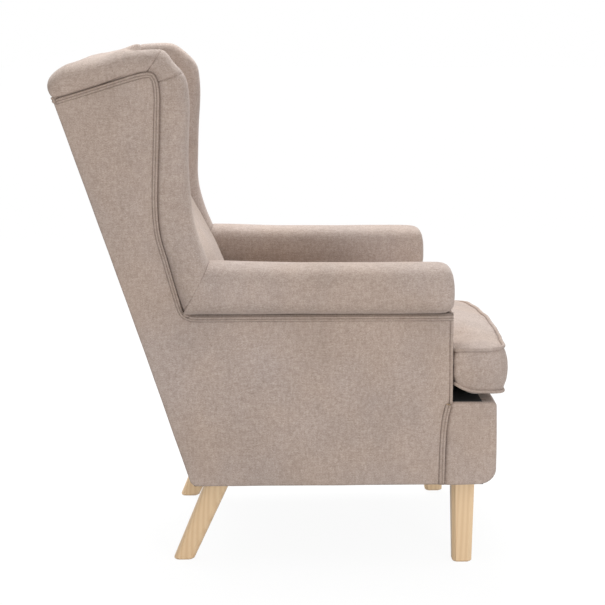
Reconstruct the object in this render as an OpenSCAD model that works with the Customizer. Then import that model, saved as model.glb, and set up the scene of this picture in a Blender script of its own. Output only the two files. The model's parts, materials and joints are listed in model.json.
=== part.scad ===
// Fireside chair: a wing-backed upholstered armchair with rolled arms, a loose T-shaped seat
// cushion and four beech legs. Millimetres, +Z up, front towards -Y, the sitter's left at +X.
// The pieces are drawn with y = 0 on the face of the front apron and y growing to the rear;
// placed() then moves the whole chair so that the middle of its depth is at y = 0.

/* [Whole chair] */
// Height of the chair over the top of the back
chair_h = 1010; // [960:1:1060]
// Width across the flat outer side covers
body_w = 744; // [700:1:800]
// Depth of the base, apron to outer back, at its underside
base_d = 593; // [570:1:640]
// Lean of the outer back from upright, in degrees
recline = 18.9; // [15:0.1:21]
// Space between the floor and the upholstered base
clear_h = 170; // [140:1:200]

/* [Base] */
// Height of the front apron
apron_h = 163; // [150:1:180]
// Thickness of the padded apron face
apron_pad = 12; // [8:0.5:16]
// Depth of the apron's return along each side, at the floor end
return_d = 108; // [100:1:125]
// How far the seam of the return leans forward at its top
return_lean = 12; // [8:1:18]
// Radius where the apron turns under
under_r = 36; // [24:1:44]
// Radius of the apron's top edge
edge_r = 10; // [6:1:14]
// Radius of the apron's corners, seen from above
corner_r = 16; // [10:1:22]

/* [Arms] */
// Clear seat width between the arms at seat level
seat_w = 494; // [460:1:520]
// Height of the top of the arms
arm_h = 601; // [585:1:625]
// Height of the padded roll on each arm
roll_h = 95; // [86:1:104]
// Width of the padded roll on each arm
roll_w = 140; // [126:1:150]
// How far the roll hangs out over the side cover
roll_over = 33; // [22:1:38]
// Set-back of the arm fronts from the apron face
arm_in = 88; // [82:1:98]
// Thickness of the padded facing on the front of each arm
facing_t = 8; // [6:0.5:12]

/* [Wings and back] */
// Distance from the apron face to the leading edge of the wings
wing_y = 592; // [575:1:610]
// How far the wing roll swells beyond the side cover
wing_swell = 4; // [2:0.5:8]
// Clear width between the wings near their top
wing_gap = 584; // [550:1:600]
// Crown of the back padding across its width
back_crown = 24; // [10:1:36]
// How far the top roll's rearmost point lies under the top of the back
bulge_h = 65; // [50:1:80]
// Seat depth, from the apron face to the back padding, level with the seat
seat_d = 508; // [490:1:530]

/* [Seat cushion] */
// Height of the cushion's boxing, between its two welts
boxing_h = 82; // [72:1:96]
// Crown of the cushion above its top welt
crown_h = 22; // [12:1:28]
// Overhang of the cushion in front of the apron
nose_d = 9; // [0:1:16]
// Swell of the cushion's boxing between its welts
boxing_swell = 8; // [4:0.5:12]
// Gap between the loose cushion and the arms
cushion_gap = 2; // [1:0.5:4]
// Radius of the cushion's front corners, seen from above
nose_r = 45; // [30:1:60]
// How far the cushion's front edge bows out between its corners
nose_bow = 13; // [0:1:18]
// How far the cushion's underside sags below its lower welt
sag = 18; // [6:1:22]
// Thickness of the cushion's casing
casing_t = 3; // [2:0.5:4]

/* [Covers and welts] */
// Thickness of the stiffened outer covers
cover_t = 4; // [3:0.5:6]
// Width of a double welt, two cords side by side
double_w = 13; // [11:0.5:15]
// Diameter of a single welt
welt_d = 7; // [6:0.5:9]

/* [Frame] */
// Thickness of the side frame timbers, across the chair
post_t = 60; // [46:1:64]
// Thickness of the rails that join the two sides
rail_t = 27; // [22:1:32]
// Height of the base rails
rail_h = 90; // [70:1:110]
// Thickness of the hardboard inside each arm
board_t = 4; // [3:0.5:6]

/* [Springs] */
// Number of sinuous springs in the seat
spring_n = 5; // [4:1:6]
// Wire diameter of the sinuous springs
spring_wire = 3.8; // [3:0.1:4.5]
// Width of a sinuous spring over its loops
spring_w = 50; // [44:1:56]
// Number of loops in a sinuous spring
spring_loops = 20; // [16:2:22]
// Thickness of the steel of the spring clips
clip_t = 1.5; // [1:0.1:2]
// Number of elastic straps in the back
strap_n = 4; // [3:1:5]
// Width of an elastic strap
strap_w = 60; // [40:1:70]
// Thickness of an elastic strap
strap_t = 2; // [1.5:0.5:3]

/* [Legs] */
// Width of a leg at its top
leg_top = 46; // [40:1:50]
// Width of a leg at its foot
leg_foot = 38; // [32:1:42]
// Distance between the centres of the front legs
front_track = 594; // [560:1:600]
// Distance between the centres of the rear legs
rear_track = 530; // [500:1:560]
// Distance of the front legs' centres behind the apron face
front_leg_y = 60; // [52:1:68]
// Distance of the rear feet's centres behind the apron face, at the floor
rear_foot_y = 612; // [590:1:625]
// Lean of the rear legs, in degrees
rear_lean = 23.7; // [16:0.1:26]
// Side of the square steel leg plates
plate_w = 68; // [60:1:74]
// Thickness of the steel leg plates
plate_t = 3; // [2:0.5:4]
// Diameter of the hanger bolts
bolt_d = 8; // [6:1:10]

/* [Hidden] */
// Clearance between pieces that rest against one another
fit = 0.3;
// Overrun of a cut past the piece it cuts
over = 5;
// Steps in a quarter turn of a rounded corner
turn = 5;

side_x = body_w / 2;
frame_out = side_x - cover_t - fit;
frame_in = frame_out - post_t;
board_in = frame_in - fit - board_t;
apron_top = clear_h + apron_h;
under_z = arm_h - roll_h;
roll_out = side_x + roll_over;
roll_x = roll_out - roll_w / 2;
roll_z = arm_h - roll_h / 2;
arm_x = seat_w / 2;
wing_x = wing_gap / 2;
facing_back = arm_in + facing_t + fit;
welt_r = welt_d / 2;
cord_r = double_w / 4;

// The dust cover is stapled under the frame, and the covers reach just below it
dust_t = 1;
hem = 1;
frame_z = clear_h + dust_t + hem;
dust_z = frame_z - fit - dust_t;
plate_z = dust_z - fit - plate_t;

function rear_y(z) = base_d + (z - clear_h) * tan(recline);
function back_y(z, depth) = rear_y(z) - depth / cos(recline);
post_in = cover_t + fit;
rail_in = post_in + rail_t;
pad_in = rail_in + fit + strap_t + fit;

// Inner face of the arms and wings: x against height
function inner_x(z) = lookup(z, [[apron_top, arm_x], [arm_h, arm_x + (wing_x - arm_x) / 3],
                                 [chair_h, wing_x]]);

// Groove line round the outer side panel, as shares of the wing's depth and height. It runs
// from the arm, round the corner into the wing, up the wing, round its top and to the rear.
wing_d = rear_y(chair_h - bulge_h) - wing_y;
wing_h = chair_h - under_z;
groove_shares = [
    [-0.05, 0], [0.008, 0.005], [0.045, 0.02], [0.09, 0.094], [0.157, 0.22], [0.205, 0.313],
    [0.222, 0.431], [0.212, 0.62], [0.205, 0.74], [0.2, 0.83], [0.212, 0.882], [0.238, 0.91],
    [0.28, 0.922], [0.35, 0.918], [0.46, 0.902], [0.65, 0.871], [0.78, 0.85], [0.9, 0.831],
    [0.945, 0.823]];
// Outline of the padded wing roll, matched to the groove line from its third point on
outline_shares = [
    [-0.13, 0.196], [-0.07, 0.28], [-0.024, 0.362], [-0.006, 0.422], [0, 0.5], [0.004, 0.62],
    [-0.01, 0.772], [-0.001, 0.868], [0.022, 0.922], [0.088, 0.958], [0.152, 0.994], [0.26, 1],
    [0.46, 0.993]];
// Outline of the roll along the top of the back, matched to the groove line's last points
top_shares = [[0.46, 0.993], [0.62, 0.972], [0.766, 0.955], [0.885, 0.938], [0.985, 0.904], [1.014, 0.87],
              [0.99, 0.836]];
// How much of the arm's overhang the wing roll still has at each of its stations
flare_shares = [1, 0.66, 0.36, 0.14, 0.04, 0, 0, 0, 0, 0, 0, 0, 0];

function wing_point(s) = [wing_y + s[0] * wing_d, under_z + s[1] * wing_h];
groove = [for (s = groove_shares) wing_point(s)];
outline = [for (s = outline_shares) wing_point(s)];
top_line = [for (s = top_shares) wing_point(s)];
first = 2;
corner = 12;
seam = first + len(outline) - 1;
last = len(groove) - 1;

function unit(v) = v / norm(v);
function tangent(p, i) = unit(p[min(i + 1, len(p) - 1)] - p[max(i - 1, 0)]);
// A path moved sideways by d, to its right
function beside(p, d) = [for (i = [0:len(p) - 1]) p[i] + d * [tangent(p, i)[1], -tangent(p, i)[0]]];
function backwards(p) = [for (i = [len(p) - 1:-1:0]) p[i]];
function part_of(p, a, b) = [for (i = [a:b]) p[i]];
function arc(c, r, from, to) =
    [for (i = [0:turn]) c + r * [cos(from + (to - from) * i / turn), sin(from + (to - from) * i / turn)]];
function super(a, n) = [sign(cos(a)) * pow(abs(cos(a)), 2 / n), sign(sin(a)) * pow(abs(sin(a)), 2 / n)];

// Path of the groove from the arm front to the rear of the back
side_path = concat([[arm_in + fit, under_z], [(arm_in + wing_y) / 2, under_z]], groove);

// The seam where the wing roll meets the arm roll slopes down to the rear
seam_slope = (groove[first][0] - outline[0][0]) / (outline[0][1] - groove[first][1]);
function seam_y(z) = groove[first][0] + (groove[first][1] - z) * seam_slope;
// Height at which that slope reaches a plane parallel to the outer back
function seam_z(depth) = (seam_y(0) - back_y(0, depth)) / (seam_slope + tan(recline));

// Top line of the side panels and of the frame in the back
top_slope = (groove[last][1] - groove[seam][1]) / (groove[last][0] - groove[seam][0]);
function top_z(y) = groove[last][1] + (y - groove[last][0]) * top_slope;
// Height at which the top line reaches a plane parallel to the outer back
function top_at(depth) = (top_z(0) + top_slope * (back_y(0, depth))) / (1 - top_slope * tan(recline));

// Seam between apron return and side cover, from the underside to the top of the apron
return_shares = [[0, 0], [0.35, 0.06], [0.65, 0.2], [0.85, 0.52], [1, 1]];
function return_y(z) = return_d - return_lean * lookup((z - clear_h) / apron_h, return_shares);
return_path = [for (s = return_shares) let (z = clear_h + hem + (apron_h - double_w / 2) * s[0])
               [return_y(z), z]];

// Seat levels and the loose cushion's outline
spring_z = apron_top - rail_t * 1.5;
deck_top = apron_top + 3 * hem;
deck_z = spring_z + 2 * clip_t + spring_wire + fit;
cushion_z = deck_top + fit;
welt_low = cushion_z + sag;
welt_high = welt_low + boxing_h;
cushion_back = seat_d - 3 * boxing_swell;
welt_off = welt_r * 0.9;
ear_back = arm_in - cushion_gap - welt_off - welt_r;
stem_x = arm_x - cushion_gap - boxing_swell;
ear_x = side_x - boxing_swell;
stem_r = 16;
ear_r = 8;
boxing_mid = (welt_low + welt_high) / 2;
zip_w = 14;
zip_t = 1.6;
zip_half = stem_x - 3 * stem_r;

// Front of the back padding, as shares of the height over the apron and of the depth to the top
back_line_shares = [[-0.1, -0.04], [0.1, -0.02], [0.19, 0], [0.3, 0.09], [0.377, 0.174], [0.446, 0.281],
                    [0.508, 0.39], [0.631, 0.6], [0.778, 0.82], [0.926, 0.98], [1, 1.04]];
function back_line(z) =
    seat_d + (groove[seam][0] - seat_d) * lookup((z - apron_top) / (chair_h - apron_top), back_line_shares);

fabric = "#b3a49a";
fabric_dark = "#a39489";
timber = "#c9a878";
board = "#8b6f4e";
foam = "#e6dcae";
beech = "#dcc09a";
steel = "#8a8c90";
black = "#222222";

// Half way between the cushion's nose and the rear of the top roll
mid_y = (wing_point([top_shares[5][0], 0])[0] - nose_d - nose_bow - 2 * boxing_swell) / 2;
module placed() translate([0, -mid_y, 0]) children();
module left() placed() children();
module right() placed() mirror([1, 0, 0]) children();

// Closed skin through rings of equal count, with flat ends
module skin(rings) {
    n = len(rings[0]);
    m = len(rings);
    walls = [for (i = [0:m - 2], j = [0:n - 1]) let (k = (j + 1) % n)
             each [[i * n + j, (i + 1) * n + k, i * n + k], [i * n + j, (i + 1) * n + j, (i + 1) * n + k]]];
    ends = [[for (j = [0:n - 1]) j], [for (j = [n - 1:-1:0]) (m - 1) * n + j]];
    polyhedron([for (r = rings) each r], concat(walls, ends), convexity = 6);
}

// Skin round a closed path, its last ring joined to its first
module loop_skin(rings) {
    n = len(rings[0]);
    m = len(rings);
    walls = [for (i = [0:m - 1], j = [0:n - 1]) let (k = (j + 1) % n, h = (i + 1) % m)
             each [[i * n + j, h * n + k, i * n + k], [i * n + j, h * n + j, h * n + k]]];
    polyhedron([for (r = rings) each r], walls, convexity = 6);
}

// A flat outline in the side view (y, z), given a thickness across the chair
module across(points, x0, x1) {
    multmatrix([[0, 0, 1, x0], [1, 0, 0, 0], [0, 1, 0, 0], [0, 0, 0, 1]])
        linear_extrude(x1 - x0) polygon(points);
}

// A flat outline in the front view (x, z), given a thickness from y0 to y1
module through(points, y0, y1) {
    multmatrix([[1, 0, 0, 0], [0, 0, -1, y1], [0, 1, 0, 0], [0, 0, 0, 1]])
        linear_extrude(y1 - y0) polygon(points);
}

// A straight timber that follows the lean of the back: its lower end at height z
module leaning(z, length, depth, thickness, x0, x1) {
    translate([0, rear_y(z), z]) rotate([-recline, 0, 0])
        translate([x0, -depth - thickness, 0]) cube([x1 - x0, thickness, length]);
}

// Side frame timbers, drawn for the left side

module base_rail() {
    color(timber) across([[apron_pad + fit + under_r, frame_z], [back_y(frame_z, post_in), frame_z],
        [back_y(frame_z + rail_h, post_in), frame_z + rail_h], [apron_pad + fit, frame_z + rail_h],
        [apron_pad + fit, frame_z + under_r]], frame_in, frame_out);
}

post_w = 56;
post_low = frame_z + rail_h + fit;
rail_under = under_z - fit - rail_t;
module front_post() {
    shelf = apron_top - cover_t - fit;
    color(timber) across([[apron_pad + fit, post_low], [facing_back + post_w, post_low],
        [facing_back + post_w, rail_under - fit], [facing_back, rail_under - fit],
        [facing_back, shelf], [apron_pad + fit, shelf]], frame_in, frame_out);
}

post_d = 64;
arm_in_depth = post_in + post_d + fit;
module arm_rail() {
    top = under_z - fit;
    color(timber) across([[facing_back, rail_under], [back_y(rail_under, arm_in_depth), rail_under],
        [back_y(top, arm_in_depth), top], [facing_back, top]], frame_in, frame_out);
}

// The back post's top is cut along the top line
module back_post() {
    rear_top = top_at(post_in) - double_w;
    front_top = top_at(post_in + post_d) - fit;
    color(timber) across([[back_y(post_low, post_in + post_d), post_low],
        [back_y(post_low, post_in), post_low], [back_y(rear_top, post_in), rear_top],
        [back_y(front_top, post_in + post_d), front_top]], frame_in, frame_out);
}

// The wing post follows the groove line, stands on the arm rail and backs on to the back post
wing_post_w = 36;
module wing_post() {
    edge = beside(part_of(groove, first, seam), fit);
    depth = post_in + post_d + fit;
    inner = [[groove[corner - 3][0] + wing_post_w, groove[corner - 4][1]],
             [groove[corner - 6][0] + wing_post_w, groove[corner - 6][1]],
             [groove[seam][0], groove[corner - 8][1]],
             [groove[seam][0], under_z], [seam_y(under_z) + fit, under_z]];
    color(timber) intersection() {
        across(concat(edge, inner), frame_in, frame_out);
        across([[0, 0], [back_y(0, depth), 0], [back_y(chair_h, depth), chair_h], [0, chair_h]], 0, side_x);
    }
}

// Side view of what fills the arm between two heights, its rear cut along the wing's seam
function arm_fill(low) = let (top = under_z - fit, cut = seam_z(pad_in) - fit)
    [[facing_back, low], [back_y(low, pad_in), low], [back_y(cut, pad_in), cut], [seam_y(top) - fit, top],
     [facing_back, top]];
module arm_board() {
    color(board) across(arm_fill(spring_z + fit), board_in, frame_in - fit);
}

// Rails that join the two sides

rail_x = frame_in - fit;
module front_rail() {
    color(timber) translate([-rail_x, apron_pad + fit, frame_z + under_r])
        cube([2 * rail_x, rail_t, spring_z - frame_z - under_r]);
}

module base_rear_rail() {
    color(timber) leaning(frame_z + rail_t / 3, rail_h, post_in, rail_t, -rail_x, rail_x);
}

spring_rear = back_y(spring_z, rail_in + 2 * rail_t);
module seat_rear_rail() {
    depth = rail_h * 2 / 3;
    color(timber) translate([-rail_x, spring_rear, spring_z - depth]) cube([2 * rail_x, rail_t, depth]);
}

module back_low_rail() {
    color(timber) leaning(apron_top + 2 * rail_t, rail_h * 2 / 3, post_in, rail_t, -rail_x, rail_x);
}

back_top_low = top_at(post_in) - rail_h - double_w - rail_t;
module back_top_rail() {
    color(timber) leaning(back_top_low, rail_h, post_in, rail_t, -rail_x, rail_x);
}

// Place of each leg: front and rear, left and right
module each_leg() {
    for (s = [-1, 1]) {
        translate([s * front_track / 2, front_leg_y, 0]) children(0);
        translate([s * rear_track / 2, rear_foot_y, 0]) rotate([rear_lean, 0, 0]) children(1);
    }
}

// Corner blocks, drilled for the nuts of the leg plates
block_h = 48;
block_w = 76;
nut_d = bolt_d * 1.8;
nut_h = bolt_d;
rear_plate_y = rear_foot_y - plate_z * tan(rear_lean);
module corner_blocks() {
    color(timber) difference() {
        for (s = [-1, 1]) {
            translate([s > 0 ? rail_x - block_w : -rail_x, apron_pad + 2 * fit + rail_t, frame_z])
                cube([block_w, block_w, block_h]);
            translate([s > 0 ? rail_x - block_w : -rail_x, rear_plate_y - block_w * 0.8, frame_z])
                cube([block_w, block_w, block_h]);
        }
        each_leg() {
            cylinder(d = nut_d + 4 * hem, h = frame_z + block_h + over, $fn = 32);
            cylinder(d = nut_d + 4 * hem, h = (frame_z + block_h) / cos(rear_lean) + 4 * over, $fn = 32);
        }
    }
}

// Springs and straps

spring_in = apron_pad + fit + rail_t / 2;
spring_out = spring_rear + rail_t / 2;
wire_z = spring_z + fit + clip_t + spring_wire / 2;
spring_gap = (seat_w - spring_w) / (spring_n - 1);
module each_spring() {
    for (i = [0:spring_n - 1]) translate([(i - (spring_n - 1) / 2) * spring_gap, 0, wire_z]) children();
}

// One bent wire: straight lengths across the spring, and a half turn after each, to
// alternate sides. A ring of the wire's section stands at each point of its route.
bend_steps = 3;
wire_sides = 6;
module seat_springs() {
    pitch = (spring_out - spring_in) / spring_loops;
    bend = pitch / 2;
    reach = spring_w / 2 - bend - spring_wire / 2;
    end_side = spring_loops % 2 == 0 ? 1 : -1;
    route = concat([[-reach, spring_in]],
        [for (i = [0:spring_loops - 1], k = [0:bend_steps])
            let (side = i % 2 == 0 ? 1 : -1, a = 180 * k / bend_steps - 90)
            [side * (reach + bend * cos(a)), spring_in + i * pitch + bend * (1 + sin(a))]],
        [[end_side * reach, spring_out]]);
    color(steel) each_spring() skin([for (i = [0:len(route) - 1])
        let (t = tangent(route, i), r = spring_wire / 2)
        [for (j = [0:wire_sides - 1]) let (a = -360 * j / wire_sides)
            [route[i][0] + t[1] * r * cos(a), route[i][1] - t[0] * r * cos(a), r * sin(a)]]]);
}

clip_w = 18;
module spring_clips() {
    shell = spring_wire / 2 + fit / 2;
    color(steel) each_spring() for (y = [spring_in, spring_out])
        translate([-clip_w / 2, y, 0]) rotate([0, 90, 0]) difference() {
            cylinder(r = shell + clip_t - fit / 2, h = clip_w, $fn = 32);
            translate([0, 0, -over]) cylinder(r = shell, h = clip_w + 2 * over, $fn = 32);
        }
}

strap_low = apron_top + 2 * rail_t;
module back_webbing() {
    length = (back_top_low - strap_low) / cos(recline) + rail_h;
    gap = (seat_w - strap_w) / (strap_n - 1);
    color(black) for (i = [0:strap_n - 1]) let (x = (i - (strap_n - 1) / 2) * gap)
        leaning(strap_low, length, rail_in + fit, strap_t, x - strap_w / 2, x + strap_w / 2);
}

// Padding

pad_front = apron_pad + fit;
module seat_deck() {
    color(black) translate([-arm_x + fit, pad_front, deck_z])
        cube([2 * (arm_x - fit), back_line(deck_z) - back_crown / 4 - fit - pad_front, deck_top - deck_z]);
}

// Crowned across its width: flat at the rear, and its top cut along the top line
back_steps = 12;
back_sides = 10;
module back_pad() {
    rear_top = top_at(pad_in) - fit;
    front_top = top_z(groove[seam][0]) - fit;
    color(fabric) skin([for (i = [0:back_steps])
        let (v = i / back_steps,
             zr = deck_z + v * (rear_top - deck_z), zf = deck_z + v * (front_top - deck_z),
             wr = inner_x(zr) - fit, wf = inner_x(zf) - fit)
        concat([for (j = [0:back_sides]) let (t = 2 * j / back_sides - 1)
                let (y = back_line(zf) + back_crown * (pow(abs(t), 2.5) - 1 / 4))
                    [t * wf, y, min(zf, top_z(y) - fit)]],
               [[wr, back_y(zr, pad_in), zr], [-wr, back_y(zr, pad_in), zr]])]);
}

// Inner side padding: a slab with the slanted inner face of the arm and wing
module inner_slab(points, outer) {
    intersection() {
        across(points, 0, outer);
        through([[inner_x(deck_z), deck_z], [outer + over, deck_z], [outer + over, chair_h],
                 [inner_x(chair_h), chair_h], [inner_x(arm_h), arm_h]], 0, base_d + chair_h);
    }
}

module arm_pad() {
    color(fabric) inner_slab(arm_fill(deck_z), board_in - fit);
}

module wing_pad() {
    low = seam_z(pad_in);
    high = top_at(pad_in) - fit;
    color(fabric) inner_slab(concat(beside(part_of(groove, first, seam), fit),
        [[back_y(high, pad_in), high], [back_y(low, pad_in), low]]), frame_in - fit);
}

// Arm roll: an oval pad whose front end is drawn in, and whose rear end meets the wing roll
roll_steps = 18;
// Distance behind the arm front and drawing-in there, as shares of the roll's height
roll_end_shares = [[0, 0.24], [0.04, 0.13], [0.11, 0.055], [0.2, 0.015], [0.32, 0]];
// Rise of the roll's top towards the wing, and the length over which it rises
roll_rise = 5;
rise_l = 200;
module arm_roll() {
    function ring(draw) = [for (j = [0:roll_steps - 1]) let (p = super(360 * j / roll_steps, 2.5))
        [roll_x + p[0] * (roll_w / 2 - draw), roll_z + p[1] * (roll_h / 2 - draw)]];
    front = [for (s = roll_end_shares) [for (p = ring(s[1] * roll_h)) [p[0], arm_in + s[0] * roll_h, p[1]]]];
    turn_y = [for (i = [0:first]) [groove[i][1], groove[i][0] - hem]];
    flat = [for (p = ring(0)) [p[0], seam_y(arm_h) - rise_l, p[1]]];
    rear = [for (p = ring(0)) let (z = p[1] + roll_rise * (p[1] - under_z) / roll_h)
        [p[0], z < groove[first][1] ? lookup(z, turn_y) : seam_y(z) - fit, z]];
    color(fabric) skin(concat([rear, flat], backwards(front)));
}

module arm_facing() {
    low = apron_top + fit;
    high = under_z - fit;
    out = side_x - welt_d - fit;
    color(fabric) through([[inner_x(low), low], [out, low], [out, high], [inner_x(high), high]],
        arm_in, facing_back - fit);
}

module facing_welt() {
    low = apron_top + fit;
    color(fabric_dark) translate([side_x - welt_r, arm_in + welt_r, low])
        cylinder(r = welt_r, h = under_z - double_w - fit - low, $fn = 24);
}

// Wing roll: at each station a rounded section between the groove line and the outline.
// Its points are shares of the distance to the outline, and of the width from the inside.
rim_shares = [[0, 0.97], [0.22, 1], [0.5, 0.985], [0.76, 0.9], [0.94, 0.7], [1, 0.46], [0.94, 0.2],
              [0.74, 0.05], [0.4, 0], [0, 0]];
function rim_out(i) = side_x + wing_swell + flare_shares[i] * (roll_over - wing_swell);
function rim_ring(i) = [for (s = rim_shares)
    let (p = groove[first + i] + s[0] * (outline[i] - groove[first + i]), x = inner_x(p[1]))
    [x + s[1] * (rim_out(i) - x), p[0], p[1]]];
module wing_roll() {
    color(fabric) skin(backwards([for (i = [0:len(outline) - 1]) rim_ring(i)]));
}

// Top roll: the same outline along the whole width, drawn down to the groove line at its ends.
// Each holds the distance from the end, the height of the roll and the rounding of its front.
end_shares = [[0, 0.4, 0], [0.02, 0.6, 0], [0.05, 0.78, 0], [0.1, 0.9, 0], [0.17, 0.98, 0], [0.22, 1, 0],
              [0.25, 1, 0.6], [0.3, 1, 1]];
// How far its first points move between the wings, where its front is rounded off
round_shares = [[0, -0.055], [-0.11, -0.005], [-0.1, 0.008], [-0.05, 0.008], [0, 0], [0, 0], [0, 0]];
top_base = concat(part_of(groove, seam, seam + 3), [groove[last], groove[last], groove[last]]);
module top_roll() {
    half = side_x + wing_swell;
    function ring(x, h, r) = concat([for (i = [0:4]) [x, top_base[i][0] + fit, top_base[i][1]]],
        [for (i = [len(top_line) - 1:-1:0])
            let (p = top_base[i] + h * (top_line[i] - top_base[i]), q = r * round_shares[i])
            [x, p[0] + q[0] * wing_d + fit, p[1] + q[1] * wing_h]]);
    ends = [for (s = end_shares) [half * (1 - s[0]), s[1], s[2]]];
    color(fabric) skin(concat([for (e = ends) ring(-e[0], e[1], e[2])],
                              [for (e = backwards(ends)) ring(e[0], e[1], e[2])]));
}

// Outer covers

under_turn = 14;
module side_cover() {
    edge = beside(side_path, double_w + 2 * fit);
    rear = back_y(frame_z, post_in);
    seam_side = beside(return_path, double_w / 2 + fit);
    top_rear = edge[len(edge) - 1];
    color(fabric) across(concat(
        [[rear - under_turn, clear_h + hem / 2],
         [back_y(frame_z + under_turn, post_in), frame_z + under_turn],
         [back_y(top_rear[1], post_in), top_rear[1]]],
        backwards([for (p = edge) if (p[0] > arm_in + welt_d + fit) p]),
        [[arm_in + welt_d + fit, edge[0][1]], [arm_in + welt_d + fit, apron_top]],
        backwards(seam_side)), side_x - cover_t, side_x);
}

// Section of a double welt: two cords side by side on a flat tape
cord_steps = 4;
function double_section(shift) = concat(
    [for (k = [0, 1], j = [(k == 0 ? 0 : 1):cord_steps]) let (a = 180 - 180 * j / cord_steps)
        [shift + cord_r * (1 + 2 * k + cos(a)), side_x - hem / 2 + cord_r * sin(a)]],
    [[shift + double_w, frame_out + fit], [shift, frame_out + fit]]);
module double_welt(path, shift) {
    color(fabric_dark) skin([for (i = [0:len(path) - 1])
        let (t = tangent(path, i)) [for (s = double_section(shift))
            [s[1], path[i][0] + s[0] * t[1], path[i][1] - s[0] * t[0]]]]);
}
module side_welt() double_welt(side_path, fit);
module base_welt() double_welt(return_path, -double_w / 2);

module outer_back() {
    low = frame_z + under_turn;
    high = top_at(0) - double_w - fit;
    color(fabric) across([[back_y(low, cover_t), low], [rear_y(low), low], [rear_y(high), high],
        [back_y(high, cover_t), high]], -side_x, side_x);
}

module back_welt() {
    low = top_at(0) - double_w;
    color(fabric_dark) translate([frame_out, rear_y(low), low]) rotate([-recline, 0, 0]) rotate([0, -90, 0])
        linear_extrude(2 * frame_out) polygon(concat(
            [for (k = [0, 1], j = [(k == 0 ? 0 : 1):cord_steps]) let (a = 180 - 180 * j / cord_steps)
                [cord_r * (1 + 2 * k + cos(a)) - fit, -hem / 2 + cord_r * sin(a)]],
            [[double_w - fit, -cover_t], [-fit, -cover_t]]));
}

// Apron: a padded face that turns under, with a return along each side
module apron() {
    back = return_y(clear_h);
    outer = concat([[back, clear_h]], beside(return_path, -double_w / 2 - fit),
        [[arm_in - fit, apron_top], [edge_r, apron_top]],
        arc([edge_r, apron_top - edge_r], edge_r, 90, 180),
        arc([under_r, clear_h + under_r], under_r, 180, 270));
    shell = under_r - apron_pad;
    cut_y = front_leg_y - plate_w / 2;
    lip = [for (p = arc([under_r, clear_h + under_r], shell, 180, 270)) if (p[0] < cut_y) p];
    inner = concat([[apron_pad, apron_top - cover_t]], lip,
        [[cut_y, lip[len(lip) - 1][1]], [cut_y, clear_h - over], [back + over, clear_h - over],
         [back + over, apron_top - cover_t]]);
    half = side_x;
    color(fabric) difference() {
        intersection() {
            across([for (p = outer) if (p[1] > clear_h || p[0] < return_d) p], -half, half);
            linear_extrude(apron_top + over) polygon(concat(
                arc([corner_r - half, corner_r], corner_r, 180, 270),
                arc([half - corner_r, corner_r], corner_r, 270, 360),
                [[half, back + over], [-half, back + over]]));
        }
        across(inner, cover_t - half, half - cover_t);
        translate([-arm_x, apron_pad, clear_h - over]) cube([2 * arm_x, back, apron_h + 2 * over]);
    }
}

module dust_cover() {
    rear = back_y(frame_z, post_in);
    color(black) difference() {
        translate([-frame_out, front_leg_y - plate_w / 2, dust_z])
            cube([2 * frame_out, rear - front_leg_y + plate_w / 2, dust_t]);
        each_leg() {
            cylinder(d = nut_d + 4 * hem, h = frame_z + block_h, $fn = 32);
            cylinder(d = nut_d + 4 * hem, h = frame_z + block_h, $fn = 32);
        }
    }
}

// The loose cushion: sections from its nose to its back, 1 at the ears and 0 at the stem. Each
// holds the distance from the nose or the back, the share of the height, and the crown.
// Its front rings bow forward in the middle, by the share that is each ring's last value
function nose_w(y) = ear_x - nose_r + sqrt(nose_r * nose_r - pow(nose_r - min(y + nose_d, nose_r), 2));
function cushion_sections(in) = [
    [-nose_d - 2 * boxing_swell + in, nose_w(-nose_d) - nose_r / 3, 0.3, 0, 1],
    [-nose_d - 1.6 * boxing_swell + in, nose_w(-nose_d) - nose_r / 6, 0.62, 0, 1],
    [-nose_d - boxing_swell + in, nose_w(-nose_d), 0.86, 0, 1],
    [-nose_d + in, nose_w(-nose_d + hem), 1, 0, 1],
    [-nose_d + nose_r / 4 + in, nose_w(-nose_d + nose_r / 4), 1, 0.2, 0.8],
    [-nose_d + nose_r / 2 + in, nose_w(-nose_d + nose_r / 2), 1, 0.35, 0.55],
    [-nose_d + nose_r, ear_x, 1, 0.5, 0.3],
    [ear_back * 0.7, ear_x, 1, 0.65, 0],
    [ear_back - ear_r - in, ear_x, 1, 0.75, 0],
    [ear_back - hem - in, ear_x - ear_r / 2, 1, 0.8, 0],
    [ear_back - in, stem_x, 1, 0.82, 0],
    [ear_back + (cushion_back - ear_back) * 0.12, stem_x, 1, 0.9, 0],
    [ear_back + (cushion_back - ear_back) * 0.35, stem_x, 1, 1, 0],
    [ear_back + (cushion_back - ear_back) * 0.65, stem_x, 1, 1, 0],
    [ear_back + (cushion_back - ear_back) * 0.85, stem_x, 1, 0.8, 0],
    [cushion_back - stem_r - in, stem_x, 1, 0.4, 0],
    [cushion_back - in, stem_x - stem_r, 1, 0, 0],
    [cushion_back + boxing_swell / 2 - in, stem_x - stem_r * 1.2, 0.8, 0, 0],
    [cushion_back + boxing_swell - in, stem_x - stem_r * 2, 0.4, 0, 0]];
function bow_at(x) = nose_bow * (1 - pow(min(1, abs(x) / ear_x), 2));
cushion_steps = 10;
least_crown_share = 0.04;
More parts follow.
